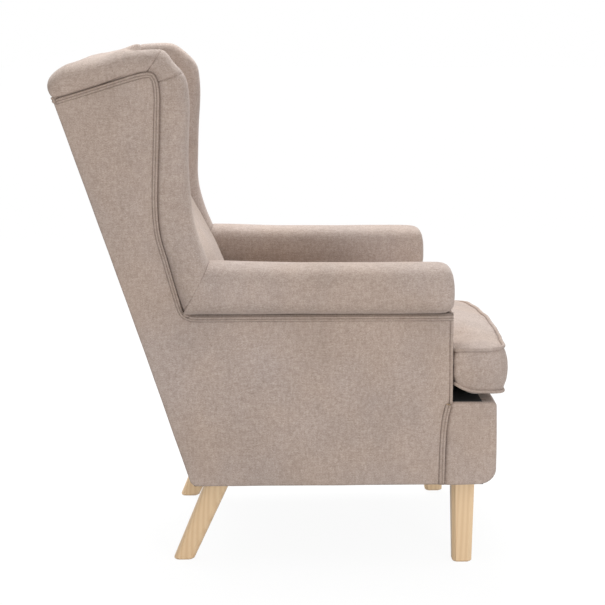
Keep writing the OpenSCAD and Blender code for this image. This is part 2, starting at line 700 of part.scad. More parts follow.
function cushion_ring(s, in) =
    let (mid = boxing_mid, w = s[1] - in, swell = boxing_swell * pow(s[2], 2))
    [for (p = concat(
        [for (j = [0:cushion_steps]) let (t = 1 - 2 * j / cushion_steps)
            [t * w, welt_high - in + crown_h * max(s[3], least_crown_share) * (1 - pow(abs(t), 2.5))]],
        [[-w - swell * 0.8, mid + boxing_h / 4], [-w - swell, mid], [-w - swell * 0.8, mid - boxing_h / 4]],
        [for (j = [0:cushion_steps]) let (t = 2 * j / cushion_steps - 1)
            [t * w, welt_low + in - sag * min(1, least_crown_share + 3 * s[3]) * (1 - pow(abs(t), 6))]],
        [[w + swell * 0.8, mid - boxing_h / 4], [w + swell, mid], [w + swell * 0.8, mid + boxing_h / 4]]))
        [p[0], s[0] - s[4] * bow_at(p[0]), mid + (p[1] - mid) * s[2]]];
module cushion_form(in) skin(backwards([for (s = cushion_sections(in)) cushion_ring(s, in)]));

module cushion_cover() {
    color(fabric) difference() {
        cushion_form(0);
        cushion_form(casing_t);
        translate([-zip_half, cushion_back, boxing_mid - zip_w / 4])
            cube([2 * zip_half, 2 * boxing_swell, zip_w / 2]);
    }
}
module cushion_core() {
    color(foam) cushion_form(casing_t + fit);
}

// Corners turned by quarter arcs: each corner holds its place and its radius
function turned(corners) = let (n = len(corners)) [for (i = [0:n - 1])
    let (p = corners[i][0], r = corners[i][1],
         a = unit(corners[(i + n - 1) % n][0] - p), b = unit(corners[(i + 1) % n][0] - p))
    for (k = [0:turn]) p + (a + b) * r - b * r * cos(90 * k / turn) - a * r * sin(90 * k / turn)];
function cushion_plan(off) = let (f = -nose_d - off, e = ear_back + off, b = cushion_back + off,
                                  x = ear_x + off, s = stem_x + off)
    concat(turned([[[x, f], nose_r], [[x, e], ear_r], [[s, e], ear_r / 2], [[s, b], stem_r],
                   [[-s, b], stem_r], [[-s, e], ear_r / 2], [[-x, e], ear_r], [[-x, f], nose_r]]),
           [for (i = [1:bow_steps - 1]) [(x - nose_r) * (2 * i / bow_steps - 1), f]]);
bow_steps = 8;
welt_sides = 6;
module cushion_welt(z) {
    path = cushion_plan(welt_off);
    n = len(path);
    color(fabric_dark) loop_skin([for (i = [0:n - 1])
        let (t = unit(path[(i + 1) % n] - path[(i + n - 1) % n]), out = [t[1], -t[0]])
        [for (j = [0:welt_sides - 1]) let (a = -360 * j / welt_sides)
            let (x = path[i][0] + out[0] * welt_r * cos(a), y = path[i][1] + out[1] * welt_r * cos(a))
            [x, y - bow_at(x) * max(0, min(1, (nose_r - nose_d - y) / nose_r)), z + welt_r * sin(a)]]]);
}
module cushion_welt_top() cushion_welt(welt_high + welt_off);
module cushion_welt_bottom() cushion_welt(welt_low - welt_off);

module cushion_zip() {
    color(fabric_dark) translate([-zip_half, cushion_back + boxing_swell + fit, boxing_mid - zip_w / 2])
        cube([2 * zip_half, zip_t, zip_w]);
}

// Legs and their fixings

bolt_in_leg = 45;
bolt_up = 22;
foot_bevel = 3;
leg_z = plate_z - fit;
// Front leg: square, its corners planed off, tapering to the foot
chamfer_share = 0.17;
function leg_ring(w, z) = let (h = w / 2, c = w * chamfer_share)
    [for (p = [[h, h - c], [h - c, h], [c - h, h], [-h, h - c],
               [-h, c - h], [c - h, -h], [h - c, -h], [h, c - h]]) [p[0], p[1], z]];
module leg_bore(top) {
    translate([0, 0, top - bolt_in_leg]) cylinder(d = bolt_d + 2 * fit, h = bolt_in_leg + over, $fn = 32);
}
module leg_front() {
    color(beech) translate([front_track / 2, front_leg_y, 0]) difference() {
        skin([leg_ring(leg_foot - 2 * foot_bevel, 0), leg_ring(leg_foot, foot_bevel),
              leg_ring(leg_top, leg_z)]);
        leg_bore(leg_z);
    }
}
// Rear leg: rounder, leaning to the rear, its foot and top cut level
leg_sides = 20;
module leg_rear() {
    function ring(w, z) = [for (j = [0:leg_sides - 1]) let (p = super(360 * j / leg_sides, 3.4))
        [p[0] * w / 2, -z * tan(rear_lean) + p[1] * w / 2 / cos(rear_lean), z]];
    color(beech) translate([rear_track / 2, rear_foot_y, 0]) difference() {
        skin([ring(leg_foot - 2 * foot_bevel, 0), ring(leg_foot, foot_bevel), ring(leg_top, leg_z)]);
        rotate([rear_lean, 0, 0]) leg_bore(leg_z / cos(rear_lean));
    }
}

module each_plate() {
    for (s = [-1, 1]) {
        translate([s * front_track / 2, front_leg_y, plate_z]) children();
        translate([s * rear_track / 2, rear_plate_y, plate_z]) children();
    }
}
module leg_plates() {
    rear_top = (plate_z + plate_t) / cos(rear_lean);
    color(black) difference() {
        union() {
            each_plate() translate([-plate_w / 2, -plate_w / 2, 0]) cube([plate_w, plate_w, plate_t]);
            each_leg() {
                translate([0, 0, plate_z + plate_t / 2]) cylinder(d = nut_d, h = nut_h, $fn = 32);
                translate([0, 0, rear_top - plate_t / 2]) cylinder(d = nut_d, h = nut_h, $fn = 32);
            }
        }
        each_leg() {
            cylinder(d = bolt_d + 2 * fit, h = chair_h, $fn = 32);
            cylinder(d = bolt_d + 2 * fit, h = chair_h, $fn = 32);
        }
        each_plate() for (x = [-1, 1], y = [-1, 1]) translate([x * screw_at, y * screw_at, -over])
            cylinder(d = screw_d + 2 * fit, h = plate_t + 2 * over, $fn = 24);
        translate([-side_x, 0, 0]) cube([body_w, base_d + clear_h, plate_z]);
    }
}

module hanger_bolts() {
    color(steel) each_leg() {
        translate([0, 0, leg_z - bolt_in_leg + hem])
            cylinder(d = bolt_d, h = bolt_in_leg + bolt_up, $fn = 32);
        translate([0, 0, leg_z / cos(rear_lean) - bolt_in_leg + hem])
            cylinder(d = bolt_d, h = bolt_in_leg + bolt_up, $fn = 32);
    }
}

screw_d = 4;
screw_head = 7.5;
screw_l = 22;
screw_edge = 6;
screw_at = plate_w / 2 - screw_edge;
module plate_screws() {
    color(steel) each_plate() for (x = [-1, 1], y = [-1, 1]) translate([x * screw_at, y * screw_at, 0]) {
        translate([0, 0, -screw_d / 2 - fit / 2])
            cylinder(d1 = screw_head * 0.7, d2 = screw_head, h = screw_d / 2, $fn = 24);
        translate([0, 0, -screw_d / 2]) cylinder(d = screw_d, h = screw_l, $fn = 24);
    }
}

left() base_rail();  // base_rail_left
right() base_rail();  // base_rail_right
left() front_post();  // front_post_left
right() front_post();  // front_post_right
left() arm_rail();  // arm_rail_left
right() arm_rail();  // arm_rail_right
left() back_post();  // back_post_left
right() back_post();  // back_post_right
left() wing_post();  // wing_post_left
right() wing_post();  // wing_post_right
placed() front_rail();
placed() base_rear_rail();
placed() seat_rear_rail();
placed() back_low_rail();
placed() back_top_rail();
placed() corner_blocks();
left() arm_board();  // arm_board_left
right() arm_board();  // arm_board_right
placed() seat_springs();
placed() spring_clips();
placed() back_webbing();
placed() seat_deck();
placed() back_pad();
left() arm_pad();  // arm_pad_left
right() arm_pad();  // arm_pad_right
left() arm_roll();  // arm_roll_left
right() arm_roll();  // arm_roll_right
left() arm_facing();  // arm_facing_left
right() arm_facing();  // arm_facing_right
left() facing_welt();  // facing_welt_left
right() facing_welt();  // facing_welt_right
left() wing_roll();  // wing_roll_left
right() wing_roll();  // wing_roll_right
left() wing_pad();  // wing_pad_left
right() wing_pad();  // wing_pad_right
placed() top_roll();
left() side_cover();  // side_cover_left
right() side_cover();  // side_cover_right
left() side_welt();  // side_welt_left
right() side_welt();  // side_welt_right
left() base_welt();  // base_welt_left
right() base_welt();  // base_welt_right
placed() outer_back();
placed() back_welt();
placed() apron();
placed() dust_cover();
placed() cushion_cover();
placed() cushion_core();
placed() cushion_welt_top();
placed() cushion_welt_bottom();
placed() cushion_zip();
left() leg_front();  // leg_front_left
right() leg_front();  // leg_front_right
left() leg_rear();  // leg_rear_left
right() leg_rear();  // leg_rear_right
placed() leg_plates();
placed() hanger_bolts();
placed() plate_screws();
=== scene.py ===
# %% [markdown]
# # A wing-backed fireside chair, dressed in Blender
# The CAD model gives every piece its place and size. This lesson loads it as a fixed frame and
# then makes each padded or sewn piece again as cloth over foam, one piece at a time. The timber
# legs and the steel plates keep their CAD shapes and get finishes. The frame is in metres, +Z
# is up, the chair faces -Y and the sitter's left is at +X.

# %% Load the frame
import json
import math

import bmesh
import bpy
import numpy as np
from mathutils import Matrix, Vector, kdtree, noise
from mathutils.bvhtree import BVHTree
from mathutils.geometry import delaunay_2d_cdt


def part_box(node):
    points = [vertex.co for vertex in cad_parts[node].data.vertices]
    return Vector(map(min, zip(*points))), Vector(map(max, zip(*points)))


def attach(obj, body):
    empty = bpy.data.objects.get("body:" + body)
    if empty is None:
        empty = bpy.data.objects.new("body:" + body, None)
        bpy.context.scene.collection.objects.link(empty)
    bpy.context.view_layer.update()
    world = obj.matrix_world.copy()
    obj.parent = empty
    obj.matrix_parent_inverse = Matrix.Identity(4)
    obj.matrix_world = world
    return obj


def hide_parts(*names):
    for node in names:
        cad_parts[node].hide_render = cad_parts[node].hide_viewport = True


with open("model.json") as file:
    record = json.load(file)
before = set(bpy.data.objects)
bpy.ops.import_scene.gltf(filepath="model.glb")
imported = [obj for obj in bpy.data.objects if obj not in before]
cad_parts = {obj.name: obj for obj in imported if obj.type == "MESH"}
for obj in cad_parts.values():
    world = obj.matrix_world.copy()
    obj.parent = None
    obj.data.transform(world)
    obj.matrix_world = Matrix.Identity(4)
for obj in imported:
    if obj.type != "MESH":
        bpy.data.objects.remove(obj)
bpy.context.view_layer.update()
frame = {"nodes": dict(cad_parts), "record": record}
bodies = frame["record"]["behaviour"]["bodies"]
print("bodies:", {name: len(nodes) for name, nodes in bodies.items()})

# %% [markdown]
# ## The chair's side profile
# The shape of a wing chair is set by a few curves seen from the side: the line of the double
# welt, the outline of the padded wing outside it, and the line along the top of the back. They
# could be traced as free curves, but here they are shares of the wing's own depth and height,
# the same shares that the CAD model uses, so the cloth always fits the frame under it. `y` here
# grows from the apron's face to the rear, and `place` turns it into the frame's own y. Sizes
# with capital names are in millimetres, apart from shares.

# %% Lines of the side profile
MM = 0.001
MIDDLE = 412.035  # from the apron's face to the middle of the chair's depth
RECLINE = math.radians(18.9)
SIDE_X = 372.0  # half the width over the side covers
FLOOR_GAP, APRON_TOP, ARM_UNDER, ARM_TOP, CHAIR_TOP = 170.0, 333.0, 506.0, 601.0, 1010.0
ARM_FRONT, WING_FRONT, REAR_LOW = 88.0, 592.0, 593.0
ROLL_OVER, ROLL_H = 33.0, 95.0  # the arm roll's overhang past the side, and its height
WING_REAR = CHAIR_TOP - 65.0  # the height at which the wing's depth is measured
WELT_W, RETURN_WELT = 12.0, 11.0
SWELL = 4.0  # how far the wing's cloth stands out over the side cover


def rear_y(z):
    """The outer back's plane at a height."""
    return REAR_LOW + (z - FLOOR_GAP) * math.tan(RECLINE)


WING_DEPTH = rear_y(WING_REAR) - WING_FRONT
WING_HEIGHT = CHAIR_TOP - ARM_UNDER


def wing_points(shares):
    return [(WING_FRONT + a * WING_DEPTH, ARM_UNDER + b * WING_HEIGHT) for a, b in shares]


groove = wing_points([
    (-0.05, 0), (0.008, 0.005), (0.045, 0.02), (0.09, 0.094), (0.157, 0.22), (0.205, 0.313),
    (0.222, 0.431), (0.212, 0.62), (0.205, 0.74), (0.2, 0.83), (0.212, 0.882), (0.238, 0.91),
    (0.28, 0.922), (0.35, 0.918), (0.46, 0.902), (0.65, 0.871), (0.78, 0.85), (0.9, 0.831),
    (0.945, 0.823)])
outline = wing_points([
    (-0.13, 0.196), (-0.07, 0.28), (-0.024, 0.362), (-0.006, 0.422), (0, 0.5), (0.004, 0.62),
    (-0.01, 0.772), (-0.001, 0.868), (0.022, 0.922), (0.088, 0.958), (0.152, 0.994), (0.26, 1),
    (0.46, 0.993)])
top_line = wing_points([
    (0.46, 0.993), (0.62, 0.972), (0.766, 0.956), (0.885, 0.942), (0.985, 0.906), (1.014, 0.87),
    (0.99, 0.836)])
FIRST, SEAM = 2, 14  # the groove's points at the wing's foot and at its seam with the top roll
print("groove points:", len(groove), "wing %.0f by %.0f mm" % (WING_DEPTH, WING_HEIGHT))


# %% Reading tables and lines
def place(x, y, z):
    """Millimetres behind the apron's face, to metres in the frame."""
    return Vector((x * MM, (y - MIDDLE) * MM, z * MM))


def share_between(table, v):
    """Linear reading of a table of (place, value) pairs."""
    for (a, p), (b, q) in zip(table, table[1:]):
        if v <= b:
            return p + (q - p) * max(0.0, (v - a) / (b - a))
    return table[-1][1]


def inner_x(z):
    """Half the clear width between the arms and wings."""
    return share_between([(APRON_TOP, 247.0), (ARM_TOP, 262.0), (CHAIR_TOP, 292.0)], z)


def along(points, t, closed=False):
    """The point at parameter t of a smooth curve that passes through every given point."""
    n = len(points)
    i = int(min(max(math.floor(t), 0), n - 1 if closed else n - 2))
    s = t - i
    a, b, c, d = [points[(i + k) % n] if closed else points[min(max(i + k, 0), n - 1)]
                  for k in (-1, 0, 1, 2)]
    return tuple(0.5 * (2 * q + (r - p) * s + (2 * p - 5 * q + 4 * r - w) * s * s
                        + (3 * q - p - 3 * r + w) * s ** 3) for p, q, r, w in zip(a, b, c, d))


def smooth_line(points, closed=False, per=4):
    """A finer line through the points."""
    n = len(points)
    steps = (n if closed else n - 1) * per
    return [along(points, i / per, closed) for i in range(steps if closed else steps + 1)]


def beside(path, off):
    """A flat path moved sideways to its right."""
    out = []
    for i, p in enumerate(path):
        a, b = path[max(i - 1, 0)], path[min(i + 1, len(path) - 1)]
        across, up = b[0] - a[0], b[1] - a[1]
        size = math.hypot(across, up)
        out.append((p[0] + off * up / size, p[1] - off * across / size))
    return out


# %% The apron's return seam and the front of the back
RETURN_BOTTOM, RETURN_LEAN = 108.0, 12.0
RETURN_SHARES = [(0, 0), (0.35, 0.06), (0.65, 0.2), (0.85, 0.52), (1, 1)]


def return_y(z):
    """The seam between the apron's return and the side cover."""
    share = (z - FLOOR_GAP) / (APRON_TOP - FLOOR_GAP)
    return RETURN_BOTTOM - RETURN_LEAN * share_between(RETURN_SHARES, share)


SEAT_DEPTH, BACK_CROWN = 508.0, 24.0
BACK_SHARES = [(-0.1, -0.04), (0.1, -0.02), (0.19, 0), (0.3, 0.09), (0.377, 0.174),
               (0.446, 0.281), (0.508, 0.39), (0.631, 0.6), (0.778, 0.82), (0.926, 0.98), (1, 1.04)]


def back_front(z):
    """The front of the back padding, before its crown."""
    share = (z - APRON_TOP) / (CHAIR_TOP - APRON_TOP)
    return SEAT_DEPTH + (groove[SEAM][0] - SEAT_DEPTH) * share_between(BACK_SHARES, share)


print("seat %.0f mm deep, back's front at the top %.0f mm" % (SEAT_DEPTH, back_front(CHAIR_TOP)))

# %% [markdown]
# ## Three ways to make a sewn piece
# Nearly every piece here is one of three things. A **roll** is a row of rings joined into a skin,
# as a tube of cloth is drawn over foam. A **panel** is a flat outline filled with small triangles
# and puffed up towards its middle, as a stapled cover lies over wadding. A **cord** is a round
# section led along a path, as piping is. They could be shaped by hand in the viewport, but code
# keeps each one in the space of its CAD node, and left and right come from one function.

# %% Meshes from rings
WELD = 0.00002  # points nearer than this, in metres, become one
END_SHARES = (0.93, 0.8, 0.6, 0.35)  # the smaller rings that close a roll's end
DOME_POWER = 2.2  # the higher, the flatter the middle of a dome


def linked(name, data):
    """An object in the scene that holds a mesh, a lamp or a camera."""
    made = bpy.data.objects.new(name, data)
    bpy.context.scene.collection.objects.link(made)
    return made


def mesh_of(name, points, faces):
    data = bpy.data.meshes.new(name)
    data.from_pydata([tuple(p) for p in points], [], faces)
    return data


def mesh_object(name, points, faces):
    """A smooth-shaded object whose faces all look outwards."""
    data = mesh_of(name, points, faces)
    body = bmesh.new()
    body.from_mesh(data)
    bmesh.ops.remove_doubles(body, verts=body.verts, dist=WELD)
    bmesh.ops.recalc_face_normals(body, faces=body.faces)
    body.to_mesh(data)
    body.free()
    data.shade_smooth()
    return linked(name, data)


def band(low, high):
    """The faces between two rings, each given by the numbers of its points."""
    count = len(low)
    return [(low[j], low[(j + 1) % count], high[(j + 1) % count], high[j]) for j in range(count)]


def roll(name, rings, closed=False, domes=(0.0, 0.0), ends=True):
    """Joins rings of equal count (points in millimetres); its ends are closed and may be domed."""
    count = len(rings[0])
    points = [place(*p) for ring in rings for p in ring]
    rows = [range(i * count, (i + 1) * count) for i in range(len(rings))]
    faces = []
    for row, following in zip(rows, rows[1:] + rows[:1] if closed else rows[1:]):
        faces += band(row, following)
    if closed or not ends:
        return mesh_object(name, points, faces)
    for last, inner, dome in ((rows[0], rows[1], domes[0]), (rows[-1], rows[-2], domes[1])):
        ring = [points[k] for k in last]
        centre = sum(ring, Vector()) / count
        out = centre - sum((points[k] for k in inner), Vector()) / count
        out = out.normalized() if out.length > 1e-6 else Vector()
        for share in END_SHARES:
            rise = out * dome * MM * (1 - share ** DOME_POWER)
            new = range(len(points), len(points) + count)
            points += [centre + (p - centre) * share + rise for p in ring]
            faces += band(last, new)
            last = new
        points.append(centre + out * dome * MM)
        faces += [(last[j], last[(j + 1) % count], len(points) - 1) for j in range(count)]
    return mesh_object(name, points, faces)


# %% Steps along a seamed roll, and mirror images
NEAR_SEAM = (0.03, 0.07, 0.13, 0.22, 0.32)


def seam_steps(count, seams, per=4):
    """Parameters from 0 to count - 1, set closer together at each seam."""
    steps = {round(i / per, 4) for i in range((count - 1) * per + 1)}
    for s in seams:
        steps = {t for t in steps if abs(t - s) > NEAR_SEAM[-1] or t in (0, count - 1)}
        steps |= {round(s + d * k, 4) for d in (0, *NEAR_SEAM) for k in (-1, 1)}
    return sorted(t for t in steps if 0 <= t <= count - 1)


def flipped(made, name):
    """The mirror image, for the other side of the chair."""
    data = made.data.copy()
    data.name = name
    body = bmesh.new()
    body.from_mesh(data)
    for v in body.verts:
        v.co.x = -v.co.x
    bmesh.ops.reverse_faces(body, faces=body.faces)
    body.to_mesh(data)
    body.free()
    return linked(name, data)


# %% Flat outlines
def gap_to(points, outline):
    """The distance of each flat point to a closed outline."""
    a = np.array(outline, float)
    b = np.roll(a, -1, axis=0)
    along_edge = b - a
    size = np.maximum((along_edge ** 2).sum(1), 1e-9)
    out = np.full(len(points), 1e9)
    for p, v, s in zip(a, along_edge, size):
        t = np.clip(((points - p) @ v) / s, 0, 1)
        out = np.minimum(out, np.linalg.norm(points - (p + t[:, None] * v), axis=1))
    return out


def within(points, outline):
    """Which flat points lie inside a closed outline."""
    hit = np.zeros(len(points), bool)
    for (ax, ay), (bx, by) in zip(outline, outline[1:] + outline[:1]):
        if ay != by:
            cross = (ay > points[:, 1]) != (by > points[:, 1])
            hit ^= cross & (points[:, 0] < (bx - ax) * (points[:, 1] - ay) / (by - ay) + ax)
    return hit


def resampled(outline, step):
    """The same closed outline with points no further apart than a step, corners kept."""
    out = []
    for a, b in zip(outline, outline[1:] + outline[:1]):
        parts = max(1, math.ceil(math.dist(a, b) / step))
        out += [(a[0] + (b[0] - a[0]) * i / parts, a[1] + (b[1] - a[1]) * i / parts)
                for i in range(parts)]
    return out


INSIDE_ONLY, MERGE_GAP = 1, 0.01


def filled(rim, inner=()):
    """A closed outline filled with triangles over the points inside it: all points, and faces."""
    edges = [(i, (i + 1) % len(rim)) for i in range(len(rim))]
    corners = [Vector(p) for p in (*rim, *inner)]
    verts, _, faces, *_ = delaunay_2d_cdt(corners, edges, [], INSIDE_ONLY, MERGE_GAP)
    return np.array([tuple(v) for v in verts]), faces


# %% Panels from outlines
ROW = 0.866  # the height of an even triangle on a side of 1
RIM_STEP, GRID_GAP = 0.6, 0.45  # shares of the spacing: along the rim, and inside its rows
EDGE_SHARES = (0.14, 0.36, 0.66, 1.0)  # the rows of points that follow a panel's turned edge


def rows_inside(rim, edge):
    """Rows of points that run along the rim's inner side, out to the width of its turned edge."""
    area = sum(a[0] * b[1] - b[0] * a[1] for a, b in zip(rim, rim[1:] + rim[:1]))
    turn_in = 1.0 if area > 0 else -1.0
    rows = []
    for off in (edge * share for share in EDGE_SHARES):
        row = []
        for i, p in enumerate(rim):
            a, b = rim[i - 1], rim[(i + 1) % len(rim)]
            v = Vector((b[0] - a[0], b[1] - a[1])).normalized()
            row.append((p[0] - turn_in * v.y * off, p[1] + turn_in * v.x * off))
        row = np.array(row)
        rows.append(row[within(row, rim) & (gap_to(row, rim) > off * 0.9)])
    return rows


def panel(name, outline, to_space, thick, crown, drop, edge, spacing, reach=60.0):
    """A cover over an outline: to_space turns (u, v, height) in millimetres into a point."""
    rim = resampled([tuple(p) for p in outline], spacing * RIM_STEP)
    low, high = np.min(rim, 0), np.max(rim, 0)
    grid = np.array([(low[0] + (i + 0.5 * (j % 2)) * spacing, low[1] + j * spacing * ROW)
                     for j in range(int((high[1] - low[1]) / spacing / ROW) + 2)
                     for i in range(int((high[0] - low[0]) / spacing) + 2)])
    grid = grid[within(grid, rim)]
    grid = grid[gap_to(grid, rim) > edge + spacing * GRID_GAP]
    flat, tris = filled(rim, np.vstack([*rows_inside(rim, edge), grid]))
    gap = gap_to(flat, rim)
    height = crown * (1 - np.exp(-gap / reach)) - drop * (1 - np.minimum(1, gap / edge)) ** 2
    points = [place(*to_space(u, v, h)) for (u, v), h in zip(flat, height)]
    under = range(len(points), len(points) + len(rim))
    points += [place(*to_space(u, v, -thick)) for u, v in rim]
    faces = [tuple(t) for t in tris] + band(range(len(rim)), under)
    faces += [tuple(under[k] for k in t) for t in filled(rim)[1]]
    return mesh_object(name, points, faces)


# %% Cords
BUNCH_LENGTH = 12.0  # the cloth on a cord swells and thins about this often


def bunching(run, z):
    """How the cloth swells (to 1) or thins (to -1) on a cord, by a run along it and its height."""
    return noise.noise(Vector((run, 7.3, z / 90)))


def cord_rings(path, radius, sides, wobble, closed=False, out=(1, 0, 0)):
    """Rings of a round section along a path in millimetres; `out` is across it everywhere."""
    rings = []
    n = len(path)
    travelled = 0.0
    for i in range(n):
        before = path[i - 1] if closed else path[max(i - 1, 0)]
        after = path[(i + 1) % n] if closed else path[min(i + 1, n - 1)]
        here = Vector(path[i])
        if i:
            travelled += (here - Vector(path[i - 1])).length
        forward = (Vector(after) - Vector(before)).normalized()
        side = (Vector(out) - forward * forward.dot(Vector(out))).normalized()
        up = forward.cross(side)
        size = radius * (1 + wobble * bunching(travelled / BUNCH_LENGTH, path[i][2]))
        turns = [2 * math.pi * j / sides for j in range(sides)]
        rings.append([tuple(here + (side * math.cos(a) + up * math.sin(a)) * size) for a in turns])
    return rings


def joined(name, pieces):
    """Several meshes as one object."""
    points, faces = [], []
    for made in pieces:
        first, data = len(points), made.data
        points += [v.co.copy() for v in data.vertices]
        faces += [tuple(first + k for k in p.vertices) for p in data.polygons]
        bpy.data.objects.remove(made)
        bpy.data.meshes.remove(data)
    whole = mesh_of(name, points, faces)
    whole.shade_smooth()
    return linked(name, whole)


# %% Rumpling and dressing a piece
def rumple(made, depth, size, seed=0.0):
    """Slow swells of the cloth, along its normals: depth and size in millimetres."""
    data = made.data
    shift = Vector((seed, seed * 0.7, 0))
    moves = [v.normal * noise.noise(v.co / (size * MM) + shift) * depth * MM
             for v in data.vertices]
    for v, move in zip(data.vertices, moves):
        v.co += move
    data.update()
    return made


def dress(made, finish, nodes=(), body="chair"):
    """Gives a piece its material and its body, and hides the CAD nodes that it stands for."""
    if made.name.endswith(".001"):
        made.name = made.name[:-4] + "_dressed"
    made.data.materials.clear()
    made.data.materials.append(finish)
    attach(made, body)
    if nodes:
        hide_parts(*nodes)
    return made


SIDE_SEEDS = {"left": 3.0, "right": 11.0}


def both_sides(make, finish, stems, depth=0.0, size=60.0, own=False):
    """Makes a left piece and its mirror image and dresses both; with `own`, each has its form."""
    left = make("left") if own else make()
    stem = left.name
    left.name = stem + "_left"
    model = make("right") if own else left
    right = flipped(model, stem + "_right")
    if own:
        bpy.data.objects.remove(model)
    for made, side in ((left, "left"), (right, "right")):
        if depth:
            rumple(made, depth, size, SIDE_SEEDS[side])
        dress(made, finish, [s + "_" + side for s in stems])
    print(stem, "both sides:", len(left.data.vertices), "points each")
    return left, right

# %% [markdown]
# ## Finishes
# The cloth is a short-pile chenille: a mushroom-grey yarn with paler and darker fibres, so from
# near it is speckled, with short streaks along its threads, and from afar slightly clouded. It
# could be painted on with an image, but noise in the object's own space needs no unwrapping and
# runs over every seam at the right scale. Three node groups make the surfaces of the chair:
# chenille, wood grain, and a plain speckle for steel, board, foam, black cloth and zip tape. Each
# gives a colour, a roughness and a normal, and each material sets the values that are its own.

# %% Helpers for shader nodes
def feed(tree, node, values):
    """Sets a node's inputs, by name or number, to plain values or to other nodes' outputs."""
    for key, value in values.items():
        socket = node.inputs[key]
        if isinstance(value, bpy.types.NodeSocket):
            tree.links.new(value, socket)
        elif isinstance(value, tuple) and len(value) < len(socket.default_value):
            socket.default_value = (*value, 1)
        else:
            socket.default_value = value


def object_space(tree):
    return tree.nodes.new("ShaderNodeTexCoord").outputs["Object"]


def noise_node(tree, space, scale, detail=3.0, rough=0.55, stretch=None):
    """A noise texture, its space stretched by three factors."""
    if stretch:
        spread = tree.nodes.new("ShaderNodeMapping")
        feed(tree, spread, {"Vector": space, "Scale": stretch})
        space = spread.outputs["Vector"]
    made = tree.nodes.new("ShaderNodeTexNoise")
    feed(tree, made, {"Vector": space, "Scale": scale, "Detail": detail, "Roughness": rough})
    return made.outputs["Fac"]


def maths(tree, how, *values):
    made = tree.nodes.new("ShaderNodeMath")
    made.operation = how
    feed(tree, made, dict(enumerate(values)))
    return made.outputs[0]


def mixed(tree, factor, a, b, how="MIX"):
    made = tree.nodes.new("ShaderNodeMix")
    made.data_type, made.blend_type = "RGBA", how
    feed(tree, made, {"Factor": factor, "A": a, "B": b})
    return made.outputs["Result"]


def spread_out(tree, value, low, high, to_low=0.0, to_high=1.0):
    """A value whose span from low to high is stretched over a new span."""
    made = tree.nodes.new("ShaderNodeMapRange")
    feed(tree, made, {"Value": value, "From Min": low, "From Max": high,
                      "To Min": to_low, "To Max": to_high})
    return made.outputs["Result"]


def bumped(tree, height, strength, distance):
    made = tree.nodes.new("ShaderNodeBump")
    feed(tree, made, {"Height": height, "Strength": strength, "Distance": distance})
    return made.outputs["Normal"]


# %% The sockets of a finish group
COLOR, NUMBER, VECTOR = "NodeSocketColor", "NodeSocketFloat", "NodeSocketVector"


def new_group(name, inputs):
    """A node group with its named inputs and a finish's three outputs."""
    tree = bpy.data.node_groups.new(name, "ShaderNodeTree")
    for label, kind, value in inputs:
        made = tree.interface.new_socket(name=label, in_out="INPUT", socket_type=kind)
        made.default_value = value
    for label, kind in (("Color", COLOR), ("Roughness", NUMBER), ("Normal", VECTOR)):
        tree.interface.new_socket(name=label, in_out="OUTPUT", socket_type=kind)
    return tree, tree.nodes.new("NodeGroupInput").outputs, tree.nodes.new("NodeGroupOutput")


# %% The chenille group
COOL_TINT, WARM_TINT = (0.995, 1.008, 1.03), (1.005, 0.985, 0.96)
# Each noise: its scale, detail and roughness, and how its space is stretched.
FLAT_STREAK, TALL_STREAK = (70, 4, 0.52, (1, 1, 3.8)), (90, 3, 0.5, (2.2, 2.2, 0.9))
SPECK, PILE = (420, 3, 0.7, (0.8, 0.8, 1.5)), (1150, 2, 0.6)
CLOUD, DRIFT = (8.5, 4, 0.6), (5.0, 3, 0.55)


def chenille_group():
    """Streaks and specks of two fibres over a yarn, with slow clouds of shade and of tint."""
    tree, given, out = new_group("chenille", (
        ("Yarn", COLOR, (0.4, 0.32, 0.28, 1)), ("Pale fibre", COLOR, (0.52, 0.44, 0.39, 1)),
        ("Dark fibre", COLOR, (0.28, 0.22, 0.19, 1)), ("Bump", NUMBER, 0.5)))
    space = object_space(tree)
    flat_streak, tall_streak, speck, pile, cloud, drift = (
        noise_node(tree, space, *form)
        for form in (FLAT_STREAK, TALL_STREAK, SPECK, PILE, CLOUD, DRIFT))
    streak = maths(tree, "ADD", flat_streak, tall_streak)
    color = given["Yarn"]
    for fibre, pattern, none_at, all_at, share in (
            ("Pale fibre", streak, 0.98, 1.3, 0.34), ("Dark fibre", streak, 1.0, 0.72, 0.32),
            ("Pale fibre", speck, 0.54, 0.74, 0.95), ("Dark fibre", speck, 0.46, 0.27, 1.0)):
        amount = maths(tree, "MULTIPLY", spread_out(tree, pattern, none_at, all_at), share)
        color = mixed(tree, amount, color, given[fibre])
    shade = spread_out(tree, cloud, 0.3, 0.7, 0.93, 1.07)
    grey = tree.nodes.new("ShaderNodeCombineColor")
    feed(tree, grey, {0: shade, 1: shade, 2: shade})
    color = mixed(tree, 1.0, color, grey.outputs["Color"], "MULTIPLY")
    tint = mixed(tree, spread_out(tree, drift, 0.38, 0.62), COOL_TINT, WARM_TINT)
    color = mixed(tree, 1.0, color, tint, "MULTIPLY")
    height = maths(tree, "MULTIPLY", pile, 0.4)
    for pattern, share in ((speck, 0.6), (streak, 0.35)):
        height = maths(tree, "MULTIPLY_ADD", pattern, share, height)
    feed(tree, out, {"Color": color, "Roughness": spread_out(tree, speck, 0.3, 0.7, 0.98, 0.84),
                     "Normal": bumped(tree, height, given["Bump"], 0.0012)})
    return tree


CHENILLE = chenille_group()


